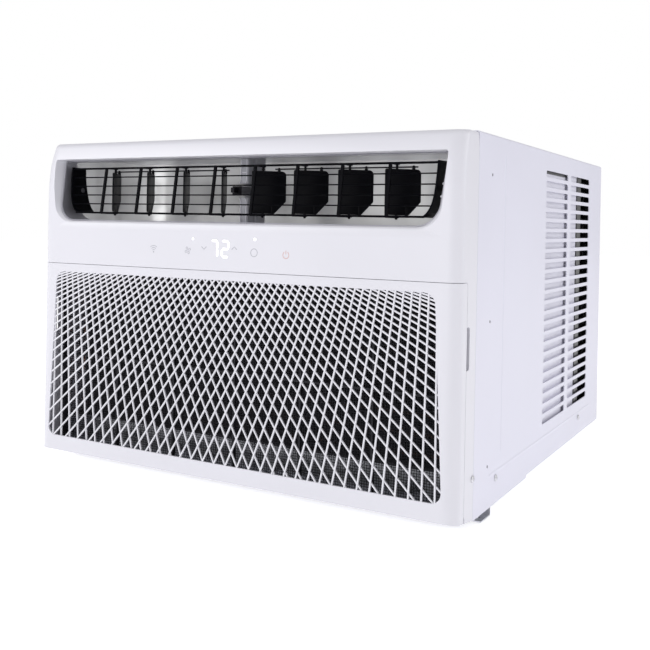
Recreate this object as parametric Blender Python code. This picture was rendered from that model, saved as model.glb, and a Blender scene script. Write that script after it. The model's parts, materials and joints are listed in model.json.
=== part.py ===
"""Window air conditioner: slotted sheet-metal cabinet, moulded front with a lattice intake door,
tilting louver frame with two groups of ganged vanes, and the refrigeration and fan parts inside.

Numbers are millimetres in the case frame: x to the right, y backwards from the seam between the
front and the cabinet, z up from the bottom edge of the cabinet. `P` turns them into world metres.
"""
import math

import bmesh
import bpy
from mathutils import Matrix, Vector

# ---------------------------------------------------------------- driving dimensions (mm)
MM = 0.001
CASE_W, CASE_D, CASE_H = 673.0, 664.0, 472.0
XH = CASE_W / 2                    # half the width
FRONT_P = 56.0                     # how far the front stands forward of the seam
RAIL_DROP = 13.0                   # how far the sill rail hangs below the cabinet
RAIL_SCREW_X = 322.0
SHIFT = Vector((0.0, -(CASE_D - FRONT_P) / 2, RAIL_DROP))
SHEET = 1.5                        # cabinet sheet
WALL = 2.6                         # moulded front
GAP = 0.6                          # running gap between neighbouring pieces

SEAM_Z = 289.0                     # joint between the intake door and the fixed front
HINGE_Y, HINGE_Z = -33.5, 9.0      # axis of the intake door
SILL_TOP = 12.9
DOOR_BACK = -31.0                  # where the door's side returns end
CORNER_R = 20.0                    # plan radius of the front's vertical edges

OUTLET_TOP, OUTLET_BOTTOM = 444.0, 353.5
TILT_Y, TILT_Z = -16.0, 400.0      # axis the louver frame tilts on
LEAN = math.radians(8.6)           # how far the louver frame leans back at rest
VANE_PITCH, VANE_FIRST = 66.7, 33.1
VANE_TURN = {-1: math.radians(-28.5), 1: math.radians(46.8)}
LINK_ARM = 22.0                    # pivot to link pin on each vane

SHAFT_X, SHAFT_Z = 0.0, 215.0      # fan shaft centre line
SLOT_ROWS, SLOT_PITCH, SLOT_H = 25, 15.48, 9.6
SLOT_COLUMNS = ((297.0, 425.0), (443.0, 572.0))

# ---------------------------------------------------------------- materials
COLOURS = {
    "white_plastic": (0.83, 0.83, 0.87, 0.0, 0.42), "white_paint": (0.84, 0.84, 0.88, 0.0, 0.38),
    "black_plastic": (0.012, 0.012, 0.014, 0.0, 0.45), "galvanised": (0.62, 0.63, 0.66, 0.9, 0.38),
    "aluminium": (0.72, 0.73, 0.75, 0.95, 0.35), "copper": (0.72, 0.36, 0.2, 1.0, 0.3),
    "black_steel": (0.02, 0.02, 0.022, 0.3, 0.45), "rubber": (0.02, 0.02, 0.02, 0.0, 0.8),
    "filter_mesh": (0.07, 0.07, 0.08, 0.0, 0.8), "grey_plastic": (0.55, 0.56, 0.6, 0.0, 0.5),
    "board_green": (0.03, 0.2, 0.09, 0.0, 0.5), "steel": (0.6, 0.6, 0.62, 1.0, 0.3),
    "fins": (0.035, 0.035, 0.04, 0.5, 0.55), "foam": (0.1, 0.1, 0.11, 0.0, 0.9),
}


def clear_scene():
    for ob in list(bpy.data.objects):
        bpy.data.objects.remove(ob)
    for mesh in list(bpy.data.meshes):
        bpy.data.meshes.remove(mesh)


def material(slot):
    mat = bpy.data.materials.get(slot)
    if mat is None:
        r, g, b, metal, rough = COLOURS[slot]
        mat = bpy.data.materials.new(slot)
        mat.use_nodes = True
        shader = mat.node_tree.nodes["Principled BSDF"]
        shader.inputs["Base Color"].default_value = (r, g, b, 1.0)
        shader.inputs["Metallic"].default_value = metal
        shader.inputs["Roughness"].default_value = rough
        mat.diffuse_color = (r, g, b, 1.0)
    return mat


# ---------------------------------------------------------------- solids
def P(x, y, z):
    """Case-frame millimetres to world metres."""
    return (Vector((x, y, z)) + SHIFT) * MM


def mesh_object(name, points, faces):
    mesh = bpy.data.meshes.new(name)
    mesh.from_pydata([tuple(P(*p)) for p in points], [], faces)
    ob = bpy.data.objects.new(name, mesh)
    bpy.context.scene.collection.objects.link(ob)
    bm = bmesh.new()
    bm.from_mesh(mesh)
    bmesh.ops.recalc_face_normals(bm, faces=bm.faces)
    bm.to_mesh(mesh)
    bm.free()
    return ob


def loft(name, rings, close=False):
    """Skin through rings of equal length; the ends are capped unless the rings close up."""
    n = len(rings[0])
    points = [p for ring in rings for p in ring]
    count = len(rings)
    faces = []
    for k in range(count if close else count - 1):
        a, b = k * n, ((k + 1) % count) * n
        for i in range(n):
            j = (i + 1) % n
            faces.append((a + i, a + j, b + j, b + i))
    if not close:
        faces.append(tuple(reversed(range(n))))
        faces.append(tuple(range((count - 1) * n, count * n)))
    return mesh_object(name, points, faces)


def box(name, x, y, z):
    (x0, x1), (y0, y1), (z0, z1) = x, y, z
    ring = [(x0, y0), (x1, y0), (x1, y1), (x0, y1)]
    return loft(name, [[(a, b, z0) for a, b in ring], [(a, b, z1) for a, b in ring]])


def prism_x(name, poly, x0, x1):
    """Polygon of (y, z) run along x."""
    return loft(name, [[(x, a, b) for a, b in poly] for x in (x0, x1)])


def prism_y(name, poly, y0, y1):
    """Polygon of (x, z) run along y."""
    return loft(name, [[(a, y, b) for a, b in poly] for y in (y0, y1)])


def prism_z(name, poly, z0, z1):
    """Polygon of (x, y) run along z."""
    return loft(name, [[(a, b, z) for a, b in poly] for z in (z0, z1)])


def circle(cx, cy, r, n=16, start=0.0):
    return [(cx + r * math.cos(start + 2 * math.pi * k / n),
             cy + r * math.sin(start + 2 * math.pi * k / n)) for k in range(n)]


def spin(name, profile, centre, axis, n=24):
    """Body of revolution: (radius, distance along the axis) pairs, open ends are closed flat."""
    centre, axis = Vector(centre), Vector(axis).normalized()
    side = axis.orthogonal().normalized()
    other = axis.cross(side)
    rings = []
    for radius, along in profile:
        rings.append([tuple(centre + axis * along + (side * math.cos(2 * math.pi * k / n)
                      + other * math.sin(2 * math.pi * k / n)) * radius) for k in range(n)])
    return loft(name, rings)


def ring_body(name, outer, inner, centre, axis, half, n=24):
    """Plain annular ring."""
    centre, axis = Vector(centre), Vector(axis).normalized()
    side = axis.orthogonal().normalized()
    other = axis.cross(side)
    section = [(outer, -half), (outer, half), (inner, half), (inner, -half)]
    rings = []
    for k in range(n):
        a = 2 * math.pi * k / n
        out = side * math.cos(a) + other * math.sin(a)
        rings.append([tuple(centre + out * r + axis * h) for r, h in section])
    return loft(name, rings, close=True)


def rounded_path(points, radius, steps=4):
    """Polyline with its inner corners rounded."""
    pts = [Vector(p) for p in points]
    out = [pts[0]]
    for a, b, c in zip(pts, pts[1:], pts[2:]):
        d1, d2 = (a - b), (c - b)
        r = min(radius, d1.length * 0.45, d2.length * 0.45)
        p, q = b + d1.normalized() * r, b + d2.normalized() * r
        for k in range(steps + 1):
            t = k / steps
            out.append(p * (1 - t) ** 2 + b * 2 * t * (1 - t) + q * t * t)
    out.append(pts[-1])
    return out


def tube(name, points, radius, bend=12.0, n=8):
    """Round bar swept along a path, with rounded bends unless bend is 0."""
    path = rounded_path(points, bend) if bend else [Vector(p) for p in points]
    tangent = (path[1] - path[0]).normalized()
    side = tangent.orthogonal().normalized()
    rings = []
    for k, p in enumerate(path):
        before = path[max(k - 1, 0)]
        after = path[min(k + 1, len(path) - 1)]
        new = (after - before).normalized()
        side = (side - new * side.dot(new)).normalized()
        other = new.cross(side)
        rings.append([tuple(p + (side * math.cos(2 * math.pi * j / n)
                      + other * math.sin(2 * math.pi * j / n)) * radius) for j in range(n)])
    return loft(name, rings)


def combine(target, tool, how):
    """Boolean on the target, which keeps its name; the tool is used up."""
    mod = target.modifiers.new("cut", "BOOLEAN")
    mod.object = tool
    mod.operation = how
    mod.solver = "EXACT"
    graph = bpy.context.evaluated_depsgraph_get()
    mesh = bpy.data.meshes.new_from_object(target.evaluated_get(graph))
    target.modifiers.remove(mod)
    target.data = mesh
    mesh.name = target.name
    bpy.data.objects.remove(tool)
    return target


def cut(target, *tools):
    for tool in tools:
        combine(target, tool, "DIFFERENCE")
    return target


def weld(target, *tools):
    for tool in tools:
        combine(target, tool, "UNION")
    return target


def together(name, bodies):
    """Several separate bodies as one tool for a Boolean."""
    points, faces = [], []
    for ob in bodies:
        base = len(points)
        points += [tuple(v.co) for v in ob.data.vertices]
        faces += [tuple(base + i for i in f.vertices) for f in ob.data.polygons]
        bpy.data.objects.remove(ob)
    mesh = bpy.data.meshes.new(name)
    mesh.from_pydata(points, [], faces)
    ob = bpy.data.objects.new(name, mesh)
    bpy.context.scene.collection.objects.link(ob)
    return ob


def finish(ob, slot, origin=None):
    """Tidy the mesh, give it its material and put its origin on its axis."""
    bm = bmesh.new()
    bm.from_mesh(ob.data)
    bmesh.ops.remove_doubles(bm, verts=bm.verts, dist=2e-6)
    bmesh.ops.dissolve_degenerate(bm, edges=bm.edges, dist=1e-6)
    bmesh.ops.dissolve_limit(bm, angle_limit=math.radians(0.05), verts=bm.verts, edges=bm.edges)
    bmesh.ops.triangulate(bm, faces=[f for f in bm.faces if len(f.verts) > 4])
    bmesh.ops.recalc_face_normals(bm, faces=bm.faces)
    bm.to_mesh(ob.data)
    bm.free()
    ob.data.materials.clear()
    ob.data.materials.append(material(slot))
    if origin is not None:
        point = P(*origin)
        ob.data.transform(Matrix.Translation(-point))
        ob.location = point
    return ob


# ---------------------------------------------------------------- front and door
def front_section(inset, front, radius, back, n=6):
    """Plan outline (x, y) of the front: flat face, rounded vertical edges, straight sides."""
    half, face, r = XH - inset, -front + inset, max(radius - inset, 2.0)
    left = [(-half + r - r * math.cos(a), face + r - r * math.sin(a))
            for a in [math.pi / 2 * k / n for k in range(n + 1)]]
    right = [(-x, y) for x, y in reversed(left)]
    return [(-half, back)] + left + right + [(half, back)]


def front_profile():
    """Height, how far forward, corner radius and inset of the upper front, bottom to top."""
    return ((SEAM_Z + GAP, FRONT_P, 20.0, 0.0), (395.0, FRONT_P, 20.0, 0.0),
            (418.0, 54.6, 20.5, 0.0), (434.0, 52.4, 21.0, 0.0), (448.0, 49.0, 21.5, 0.0),
            (459.0, 45.4, 22.0, 0.4), (466.0, 41.6, 22.0, 1.2), (469.6, 37.0, 22.0, 3.0))


def outlet_outline(grow=0.0, n=6):
    """(x, z) outline of the outlet: tight upper corners, wide lower corners."""
    top, bottom = OUTLET_TOP + grow, OUTLET_BOTTOM - grow
    half_top, half_low = 312.0 + grow, 306.0 + grow
    r_top, r_low = 7.0 + grow, 30.0 + grow * 0.5
    right = []
    for k in range(n + 1):
        a = -math.pi / 2 + math.pi / 2 * k / n
        right.append((half_low - r_low + r_low * math.cos(a), bottom + r_low + r_low * math.sin(a)))
    for k in range(4):
        a = math.pi / 2 * k / 3
        right.append((half_top - r_top + r_top * math.cos(a), top - r_top + r_top * math.sin(a)))
    return right + [(-x, z) for x, z in reversed(right)]


def outlet_flare():
    """Tool for the flared mouth: wide in front, deepest along the top edge."""
    rings = []
    for grow, depth in ((15.0, 0.0), (5.0, 0.62), (1.2, 0.86), (0.0, 1.0)):
        ring = []
        for x, z in outlet_outline(grow):
            up = min(max((z - OUTLET_BOTTOM) / (OUTLET_TOP - OUTLET_BOTTOM), 0.0), 1.0)
            start, end = -64.0, -53.0 + 17.0 * up
            ring.append((x, start + (end - start) * depth, z))
        rings.append(ring)
    rings.append([(x, 12.0, z) for x, z in outlet_outline(0.0)])
    return loft("flare", rings)


def underside_wedge(y0, y1):
    """Tool that trims the underside so it rises towards the front."""
    return prism_x("wedge", [(y0, -30.0), (y1, -30.0), (y1, 1.0 - y1 * 0.14),
                             (y0, 1.0 - y0 * 0.14)], -400.0, 400.0)


def make_front_frame():
    rows = front_profile()
    outer = loft("front_frame", [[(x, y, z) for x, y in front_section(i, p, r, 0.0)]
                                 for z, p, r, i in rows])
    top = rows[-1][0] - WALL
    inner = loft("inner", [[(x, y, z if z < top else top) for x, y in
                            front_section(i + WALL, p, r, 20.0)]
                           for z, p, r, i in rows[:-1] + ((top, 39.4, 22.0, 2.0),)][1:-2]
                 + [[(x, y, top) for x, y in front_section(WALL + 3.0, 38.0, 20.0, 20.0)]])
    ledge = [(x, y, SEAM_Z + GAP + WALL) for x, y in front_section(WALL, FRONT_P, 20.0, 20.0)]
    inner_low = loft("inner_low", [ledge, [(x, y, 396.0) for x, y, _ in ledge]])
    lip = loft("lip", [[(x, y, z) for x, y in front_section(i + 0.2, p - 0.2, r, -15.0)]
                       for z, p, r, i in ((340.0, FRONT_P, 20.0, 0.0),) + rows[1:6]])
    lip = cut(lip, box("lip_ends", (-400, 400), (-80, 20), (458.4, 480)),
              box("lip_l", (-400, -326), (-80, 20), (300, 480)),
              box("lip_r", (326, 400), (-80, 20), (300, 480)))
    frame = cut(outer, inner, inner_low)
    frame = weld(frame, lip)
    frame = cut(frame, outlet_flare())
    # side walls and sill below the seam, behind the door
    legs = loft("legs", [[(-XH, DOOR_BACK + GAP, z), (XH, DOOR_BACK + GAP, z), (XH, 0.0, z),
                          (-XH, 0.0, z)] for z in (0.0, SEAM_Z + GAP + 1.0)])
    cut(legs, box("hollow", (-XH + WALL, XH - WALL), (-60, 20), (SILL_TOP, 400)),
        underside_wedge(-70.0, 10.0),
        spin("relief", [(5.6, -400), (5.6, 400)], (0, HINGE_Y, HINGE_Z), (1, 0, 0), 16))
    frame = weld(frame, legs)
    for side in (-1, 1):
        # a pocket behind the door's side edge to get a finger in
        weld(frame, box("block", sorted((side * 326.0, side * (XH - 0.5))), (-30.2, -15.0),
                        (180.0, 241.5)))
        cut(frame, box("finger", sorted((side * 328.5, side * (XH + 5))), (-40.0, -21.5),
                       (185.0, 236.5)))
        # lug that carries the door's hinge pin
        ends = sorted((side * 297.2, side * 303.8))
        weld(frame, spin("lug", [(4.2, ends[0]), (4.2, ends[1])], (0, HINGE_Y, HINGE_Z),
                         (1, 0, 0), 12), box("arm", ends, (HINGE_Y, -20.0), (6.2, 12.0)))
        cut(frame, spin("hole", [(2.2, ends[0] - 1), (2.2, ends[1] + 1)], (0, HINGE_Y, HINGE_Z),
                        (1, 0, 0), 12))
    # pivot sockets for the louver frame at both ends of the outlet
    for side in (-1, 1):
        ends = sorted((side * 305.5, side * 320.0))
        cut(frame, spin("socket", [(3.2, ends[0]), (3.2, ends[1])], (0, TILT_Y, TILT_Z),
                        (1, 0, 0), 16))
    return finish(frame, "white_plastic")


def clip(poly, px, pz, nx, nz):
    """Part of a convex (x, z) polygon on the side the normal points to."""
    out = []
    for (ax, az), (bx, bz) in zip(poly, poly[1:] + poly[:1]):
        da, db = (ax - px) * nx + (az - pz) * nz, (bx - px) * nx + (bz - pz) * nz
        if da >= 0:
            out.append((ax, az))
        if (da > 0 > db) or (da < 0 < db):
            t = da / (da - db)
            out.append((ax + (bx - ax) * t, az + (bz - az) * t))
    return out


def area(poly):
    return abs(sum(a[0] * b[1] - b[0] * a[1] for a, b in zip(poly, poly[1:] + poly[:1]))) / 2


def intake_outline(n=3):
    """Convex outline of the lattice opening, a little wider at the bottom."""
    corners = ((-318.0, 31.0, 13.0), (318.0, 31.0, 13.0), (305.5, 277.0, 15.0),
               (-305.5, 277.0, 15.0))
    out = []
    for k, (x, z, r) in enumerate(corners):
        before, after = corners[k - 1], corners[(k + 1) % 4]
        a = (Vector((before[0] - x, before[1] - z))).normalized()
        b = (Vector((after[0] - x, after[1] - z))).normalized()
        for j in range(n + 1):
            t = j / n
            p = Vector((x, z)) + a * r * (1 - t) ** 2 + b * r * t ** 2
            out.append((p.x, p.y))
    return out


def lattice_cells(step, bar):
    """Cells between two fans of straight bars, one fan the mirror image of the other."""
    fan_x, fan_z, base = 292.0, 566.0, 31.0
    feet = [fan_x + 40.0 - step * k for k in range(int(1400 / step))]

    def side_of(sign, foot, keep):
        # half plane beside the bar from (sign*foot, base) up to the fan's point
        dx, dz = sign * (fan_x - foot), fan_z - base
        length = math.hypot(dx, dz)
        nx, nz = dz / length * keep, -dx / length * keep
        return (sign * foot + nx * bar / 2, base + nz * bar / 2, nx, nz)

    cells = []
    for a in range(len(feet) - 1):
        strip = clip(clip(intake_outline(), *side_of(1, feet[a], -1)),
                     *side_of(1, feet[a + 1], 1))
        if len(strip) < 3:
            continue
        for b in range(len(feet) - 1):
            cell = clip(strip, *side_of(-1, feet[b], 1))
            if len(cell) > 2:
                cell = clip(cell, *side_of(-1, feet[b + 1], -1))
            if len(cell) > 2 and area(cell) > 60.0:
                cells.append(cell)
    return cells


def make_intake_grille():
    top = SEAM_Z
    door = prism_z("intake_grille", front_section(0.0, FRONT_P, CORNER_R, DOOR_BACK), 0.0, top)
    inner = prism_z("inner", front_section(WALL, FRONT_P, CORNER_R, 10.0), 9.8 + WALL,
                    top - WALL)
    cut(door, inner, underside_wedge(-80.0, 0.0))
    holes = [prism_y("cell", cell, -60.0, -50.0) for cell in lattice_cells(74.8, 3.0)]
    cut(door, together("cells", holes))
    for side in (-1, 1):
        cut(door, box("slot", sorted((side * 296.0, side * 305.0)), (-38.8, -20), (0, 20)))
        ends = sorted((side * 295.0, side * 306.0))
        weld(door, spin("pin", [(1.8, ends[0]), (1.8, ends[1])], (0, HINGE_Y, HINGE_Z),
                        (1, 0, 0), 10))
    return finish(door, "white_plastic", (0.0, HINGE_Y, HINGE_Z))


def make_air_filter():
    frame = box("air_filter", (-322, 322), (-25, -17), (13.3, 284))
    cells = [box("c", (-316 + 105.6 * i, -316 + 105.6 * i + 103.6), (-30, -10),
                 (19.3 + 130 * j, 19.3 + 130 * j + 128)) for i in range(6) for j in range(2)]
    cut(frame, together("cells", cells))
    weld(frame, box("mesh", (-318, 318), (-21.6, -20.4), (18, 280)))
    return finish(frame, "filter_mesh", (0.0, -21.0, 13.3))


# ---------------------------------------------------------------- louver frame and vanes
def leaning(y, z):
    """Point of the upright louver frame after it leans back about its own axis."""
    dy, dz = y - TILT_Y, z - TILT_Z
    return (TILT_Y + dy * math.cos(LEAN) + dz * math.sin(LEAN),
            TILT_Z - dy * math.sin(LEAN) + dz * math.cos(LEAN))


UP = Vector((0.0, 0.0, 1.0))             # the vanes stand upright behind the leaning bars
BACK = Vector((0.0, 1.0, 0.0))
FACE_Y = TILT_Y - 19.5             # the upright frame's front bars
PIVOT_Y, PIVOT_Z = TILT_Y + 4.5, 397.5   # the vanes' pivots
BAR_TOP, BAR_LOW = TILT_Z + 29.2, TILT_Z - 37.5
ARM_TOP, ARM_LOW = (430.6, 433.0), (363.9, 366.3)
# half width, height, front and rear edge of the end plates, from the top down
PLATE = ((299.6, 431.3, -40.5, -11.8), (299.3, 421.0, -40.3, -9.5), (298.6, 408.0, -39.8, -6.1),
         (297.4, 394.0, -39.0, -0.5), (295.4, 382.5, -38.2, 6.0), (292.2, 373.5, -37.6, 11.5),
         (287.6, 366.5, -37.2, 14.5), (281.0, 360.9, -37.0, 14.5))


def lean_box(name, x, y, z):
    (x0, x1), (y0, y1), (z0, z1) = x, y, z
    ring = [leaning(y0, z0), leaning(y1, z0), leaning(y1, z1), leaning(y0, z1)]
    return prism_x(name, ring, x0, x1)


def vane_positions(side):
    return [side * (VANE_FIRST + VANE_PITCH * k) for k in range(4)]


def frame_half(z):
    """Half width of the louver frame at a height, between the rows of PLATE."""
    for (a, za, _, _), (b, zb, _, _) in zip(PLATE, PLATE[1:]):
        if z >= zb:
            return a + (b - a) * (za - z) / (za - zb)
    return PLATE[-1][0]


def make_louver_frame():
    def rail(name, z, depth, height):
        half = frame_half(z) - 1.0
        return lean_box(name, (-half, half), (FACE_Y - depth, FACE_Y + depth),
                        (z - height, z + height))
    frame = rail("louver_frame", BAR_LOW, 1.6, 1.5)
    parts = [rail("top", BAR_TOP, 1.6, 1.5)]
    parts += [rail("bar", BAR_LOW + (BAR_TOP - BAR_LOW) * k / 5, 1.0, 0.9) for k in range(1, 5)]
    for x in vane_positions(-1) + vane_positions(1):
        parts.append(lean_box("rib", (x - 1.8, x + 1.8), (FACE_Y - 1.3, FACE_Y + 1.9),
                              (BAR_LOW, BAR_TOP)))
        parts.append(box("arm", (x - 3.2, x + 3.2), (-31.0, PIVOT_Y + 4.5), ARM_TOP))
        parts.append(box("arm", (x - 3.2, x + 3.2), (-40.5, PIVOT_Y + 4.5), ARM_LOW))
    # end plates: deep towards the bottom, with the pins the whole frame tilts on
    for side in (-1, 1):
        parts.append(loft("plate", [[(side * px,) + leaning(y, z) for px, y in (
            (x - 2.2, front), (x, front), (x, back), (x - 2.2, back))]
            for x, z, front, back in PLATE]))
        ends = sorted((side * 297.0, side * 312.0))
        parts.append(spin("pin", [(2.5, ends[0]), (2.5, ends[1])], (0, TILT_Y, TILT_Z),
                          (1, 0, 0), 12))
    parts.append(lean_box("hub", (-8.0, 8.0), (FACE_Y, TILT_Y + 18.0), (TILT_Z - 7, TILT_Z + 5)))
    weld(frame, *parts)
    for x in vane_positions(-1) + vane_positions(1):
        cut(frame, together("holes", [spin("hole", [(2.1, a), (2.1, b)], (x, PIVOT_Y, 0), UP, 12)
                                      for a, b in ((355, 370), (428, 440))]))
    return finish(frame, "black_plastic", (0.0, TILT_Y, TILT_Z))


def vane_direction(turn):
    return (BACK * math.cos(turn) + Vector((1, 0, 0)) * math.sin(turn)).normalized()


def make_vane(name, x, turn):
    """Flat vane with pivot pins, a link pin on top and a cut-off lower rear corner."""
    centre = Vector((x, PIVOT_Y, PIVOT_Z))
    along = vane_direction(turn)
    across = UP.cross(along)
    low, high, front, back = -29.7, 28.5, -15.5, 32.0
    outline = [(front, low + 2), (front + 2, low), (back - 16, low), (back, low + 17),
               (back, high - 3), (back - 3, high), (front, high)]
    ring = [[tuple(centre + along * a + UP * b + across * s) for a, b in outline]
            for s in (-0.9, 0.9)]
    vane = loft(name, ring)
    pins = [spin("pin", [(1.7, low - 5.1), (1.7, low + 2)], centre, UP, 10),
            spin("pin", [(1.7, high - 2), (1.7, high + 7.6)], centre, UP, 10),
            spin("link", [(1.4, high - 2), (1.4, high + 4.6)], centre + along * LINK_ARM, UP, 10)]
    weld(vane, *pins)
    return finish(vane, "black_plastic", tuple(centre))


def make_tie_bar(name, side, turn):
    along = vane_direction(turn)
    xs = vane_positions(side)
    base = [Vector((x, PIVOT_Y, PIVOT_Z + 31.5)) + along * LINK_ARM for x in xs]
    x_lo, x_hi = min(p.x for p in base) - 6, max(p.x for p in base) + 6
    mid = base[0]
    ring = [mid + BACK * a + UP * b for a, b in ((-2.6, -1.1), (2.6, -1.1), (2.6, 1.1),
                                                 (-2.6, 1.1))]
    bar = loft(name, [[(x, p.y, p.z) for p in ring] for x in (x_lo, x_hi)])
    holes = [spin("hole", [(1.75, -4), (1.75, 4)], p, UP, 10) for p in base]
    cut(bar, together("holes", holes))
    return finish(bar, "black_plastic", tuple(base[0]))


# ---------------------------------------------------------------- duct and divider
def make_discharge_duct():
    """Metal duct behind the outlet: wide sweep on the left, square on the right."""
    half, front = 314.0, -14.7

    def plan(off):
        reach = front - (20.0 if off else 0.0)
        arc = [(-half + 100 - (100 - off) * math.cos(a), 22 + (100 - off) * math.sin(a))
               for a in [math.pi / 2 * k / 8 for k in range(9)]]
        return [(-half + off, reach)] + arc + [(half - 12, 122 - off), (half - off, 110 - off),
                                               (half - off, reach)]
    duct = prism_z("discharge_duct", plan(0.0), 345.0, 452.0)
    cut(duct, prism_z("inner", plan(1.2), 349.0, 448.5),
        box("throat", (-140, 140), (64, 116), (330, 352)))
    return finish(duct, "galvanised")


def make_centre_divider():
    post = box("centre_divider", (-9.5, 9.5), (7.0, 30.0), (349.3, 448.2))
    for z in (368.0, 430.0):
        cut(post, box("groove", (-3.4, -1.6), (5, 8), (z - 13, z + 13)),
            box("groove", (3.6, 5.4), (5, 8), (z - 13, z + 13)))
    return finish(post, "grey_plastic")


# ---------------------------------------------------------------- cabinet, base and rail
def slot_outline(y0, y1, z, h, n=3):
    r = h / 2
    out = [(y1 - r + r * math.sin(math.pi * k / n), z + r * math.cos(math.pi * k / n))
           for k in range(n + 1)]
    out += [(y0 + r - r * math.sin(math.pi * k / n), z - r * math.cos(math.pi * k / n))
            for k in range(n + 1)]
    return out


def make_cabinet():
    r = 3.0

    def wrap(off, low):
        half, top = XH - off, CASE_H - off
        rr = max(r - off, 0.8)
        out = [(-half, low)]
        out += [(-half + rr - rr * math.cos(a), top - rr + rr * math.sin(a))
                for a in [math.pi / 2 * k / 3 for k in range(4)]]
        return out + [(-x, z) for x, z in reversed(out)]
    case = prism_y("cabinet", wrap(0.0, 0.0), GAP, CASE_D)
    cut(case, prism_y("inner", wrap(SHEET, -20.0), -20.0, CASE_D - SHEET))
    # rear opening, leaving a narrow return all round
    cut(case, box("rear", (-XH + 14, XH - 14), (CASE_D - 20, CASE_D + 20), (-20, CASE_H - 14)))
    # the lower edge steps up a little behind the front stretch
    cut(case, prism_x("step", [(205, -20), (700, -20), (700, 4), (222, 4)], -400, 400))
    slots = []
    for side in (-1, 1):
        xs = sorted((side * (XH - 6), side * (XH + 6)))
        for row in range(SLOT_ROWS):
            z = 437.5 - SLOT_PITCH * row
            for y0, y1 in SLOT_COLUMNS:
                slots.append(prism_x("slot", slot_outline(y0, y1, z, SLOT_H), *xs))
        for z in (421.0, 236.5, 54.5):
            slots.append(prism_x("hole", circle(51.0, z, 2.0, 8), *xs))
    cut(case, together("slots", slots))
    # shallow pressed lines: an upright rib and the top of the base strip
    for side in (-1, 1):
        xs = sorted((side * (XH - 0.5), side * (XH + 2)))
        cut(case, box("rib", xs, (101.0, 105.0), (62.0, 450.0)),
            box("strip", xs, (58.0, 600.0), (40.0, 42.0)))
    return finish(case, "white_paint")


def make_base_pan():
    half = XH - SHEET - 0.8
    pan = box("base_pan", (-half, half), (4.0, CASE_D - SHEET - 1.5), (4.6, 50.0))
    cut(pan, box("inner", (-half + 1.5, half - 1.5), (5.5, CASE_D - SHEET - 3.0), (6.1, 80.0)))
    return finish(pan, "galvanised")


def make_sill_rail():
    """Angle across the underside that bears on the window sill."""
    section = [(38.0, -RAIL_DROP), (73.0, -RAIL_DROP), (73.0, 2.4), (91.0, 2.4), (91.0, 4.2),
               (71.2, 4.2), (71.2, 1.8 - RAIL_DROP), (38.0, 1.8 - RAIL_DROP)]
    return finish(prism_x("sill_rail", section, -XH + 2.4, XH - 2.4), "galvanised")


def make_screw(name, x, y, z, axis):
    """Pan-head screw with a washer face; the shank runs into the metal behind."""
    screw = spin(name, [(4.4, 0.0), (4.4, 0.9), (3.4, 1.9), (1.5, 2.4)], (x, y, z), axis, 12)
    return finish(screw, "steel")


# ---------------------------------------------------------------- refrigeration
def make_coil(name, x, y, z, slot, grooves):
    """Finned block with end plates proud of the fins."""
    coil = box(name, x, y, z)
    tools = []
    pitch = (x[1] - x[0]) / (grooves + 1)
    for k in range(grooves):
        cx = x[0] + pitch * (k + 1)
        for side in (0, 1):
            ys = (y[0] - 2, y[0] + 6) if side == 0 else (y[1] - 6, y[1] + 2)
            tools.append(box("g", (cx - pitch * 0.3, cx + pitch * 0.3), ys,
                             (z[0] + 8, z[1] - 8)))
    cut(coil, together("grooves", tools))
    return finish(coil, slot)


def make_compressor():
    x, y = 222.0, 262.0
    body = spin("compressor", [(30, 26.5), (52, 32), (60, 46), (60, 205), (56, 226), (40, 240),
                               (14, 246)], (x, y, 0), (0, 0, 1), 20)
    feet = [prism_z("foot", [(x + (74 * math.cos(a)) + p, y + (74 * math.sin(a)) + q)
                             for p, q in ((-14, -14), (14, -14), (14, 14), (-14, 14))], 28.5, 31.5)
            for a in [math.radians(d) for d in (90, 210, 330)]]
    disc = spin("disc", [(64, 28.5), (64, 31.5)], (x, y, 0), (0, 0, 1), 20)
    weld(body, disc, *feet)
    for a in [math.radians(d) for d in (90, 210, 330)]:
        cut(body, spin("hole", [(5.0, 20), (5.0, 40)], (x + 76 * math.cos(a), y + 76 * math.sin(a),
                                                       0), (0, 0, 1), 12))
    return finish(body, "black_steel")


def make_grommet(name, angle):
    x, y = 222 + 76 * math.cos(angle), 262 + 76 * math.sin(angle)
    g = spin(name, [(11, 6.4), (11, 28.0), (4.6, 28.0), (4.6, 32.0), (10.5, 32.0), (10.5, 36.0),
                    (3, 38.0)], (x, y, 0), (0, 0, 1), 10)
    return finish(g, "rubber")


def make_accumulator():
    body = spin("suction_accumulator", [(10, 60), (20, 66), (20, 222), (10, 230)], (140, 256, 0),
                (0, 0, 1), 16)
    return finish(body, "black_steel")


def make_filter_drier():
    body = spin("filter_drier", [(5, 240), (12, 247), (12, 300), (5, 308)], (-285, 0, 90),
                (0, 1, 0), 12)
    return finish(body, "copper")


def make_pipes():
    """Copper lines; each stops a hair short of what it is brazed to."""
    runs = (("discharge_line", 4.8, [(222, 262, 246.3), (222, 262, 300), (285, 262, 300),
                                     (285, 300, 340), (285, 601.7, 340)]),
            ("suction_line", 5.6, [(300, 46.3, 310), (300, 215, 310), (140, 215, 310),
                                   (140, 256, 310), (140, 256, 230.3)]),
            ("accumulator_line", 4.5, [(140, 256, 59.7), (140, 256, 46), (161.9, 256, 46)]),
            ("liquid_line", 3.6, [(-285, 601.7, 90), (-285, 308.3, 90)]))
    for name, radius, path in runs:
        finish(tube(name, path, radius), "copper")
    helix = [(-285 + 22 * math.sin(a) * min(1.0, a / 2), 232 - 8.0 * a, 90 + 22 - 22 * math.cos(a))
             for a in [2 * math.pi * k / 8 for k in range(0, 9)]]
    path = [(-285, 239.7, 90)] + helix + [(-285, 46.3, 90)]
    finish(tube("capillary_tube", path, 1.6, 0.0, 6), "copper")


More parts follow.
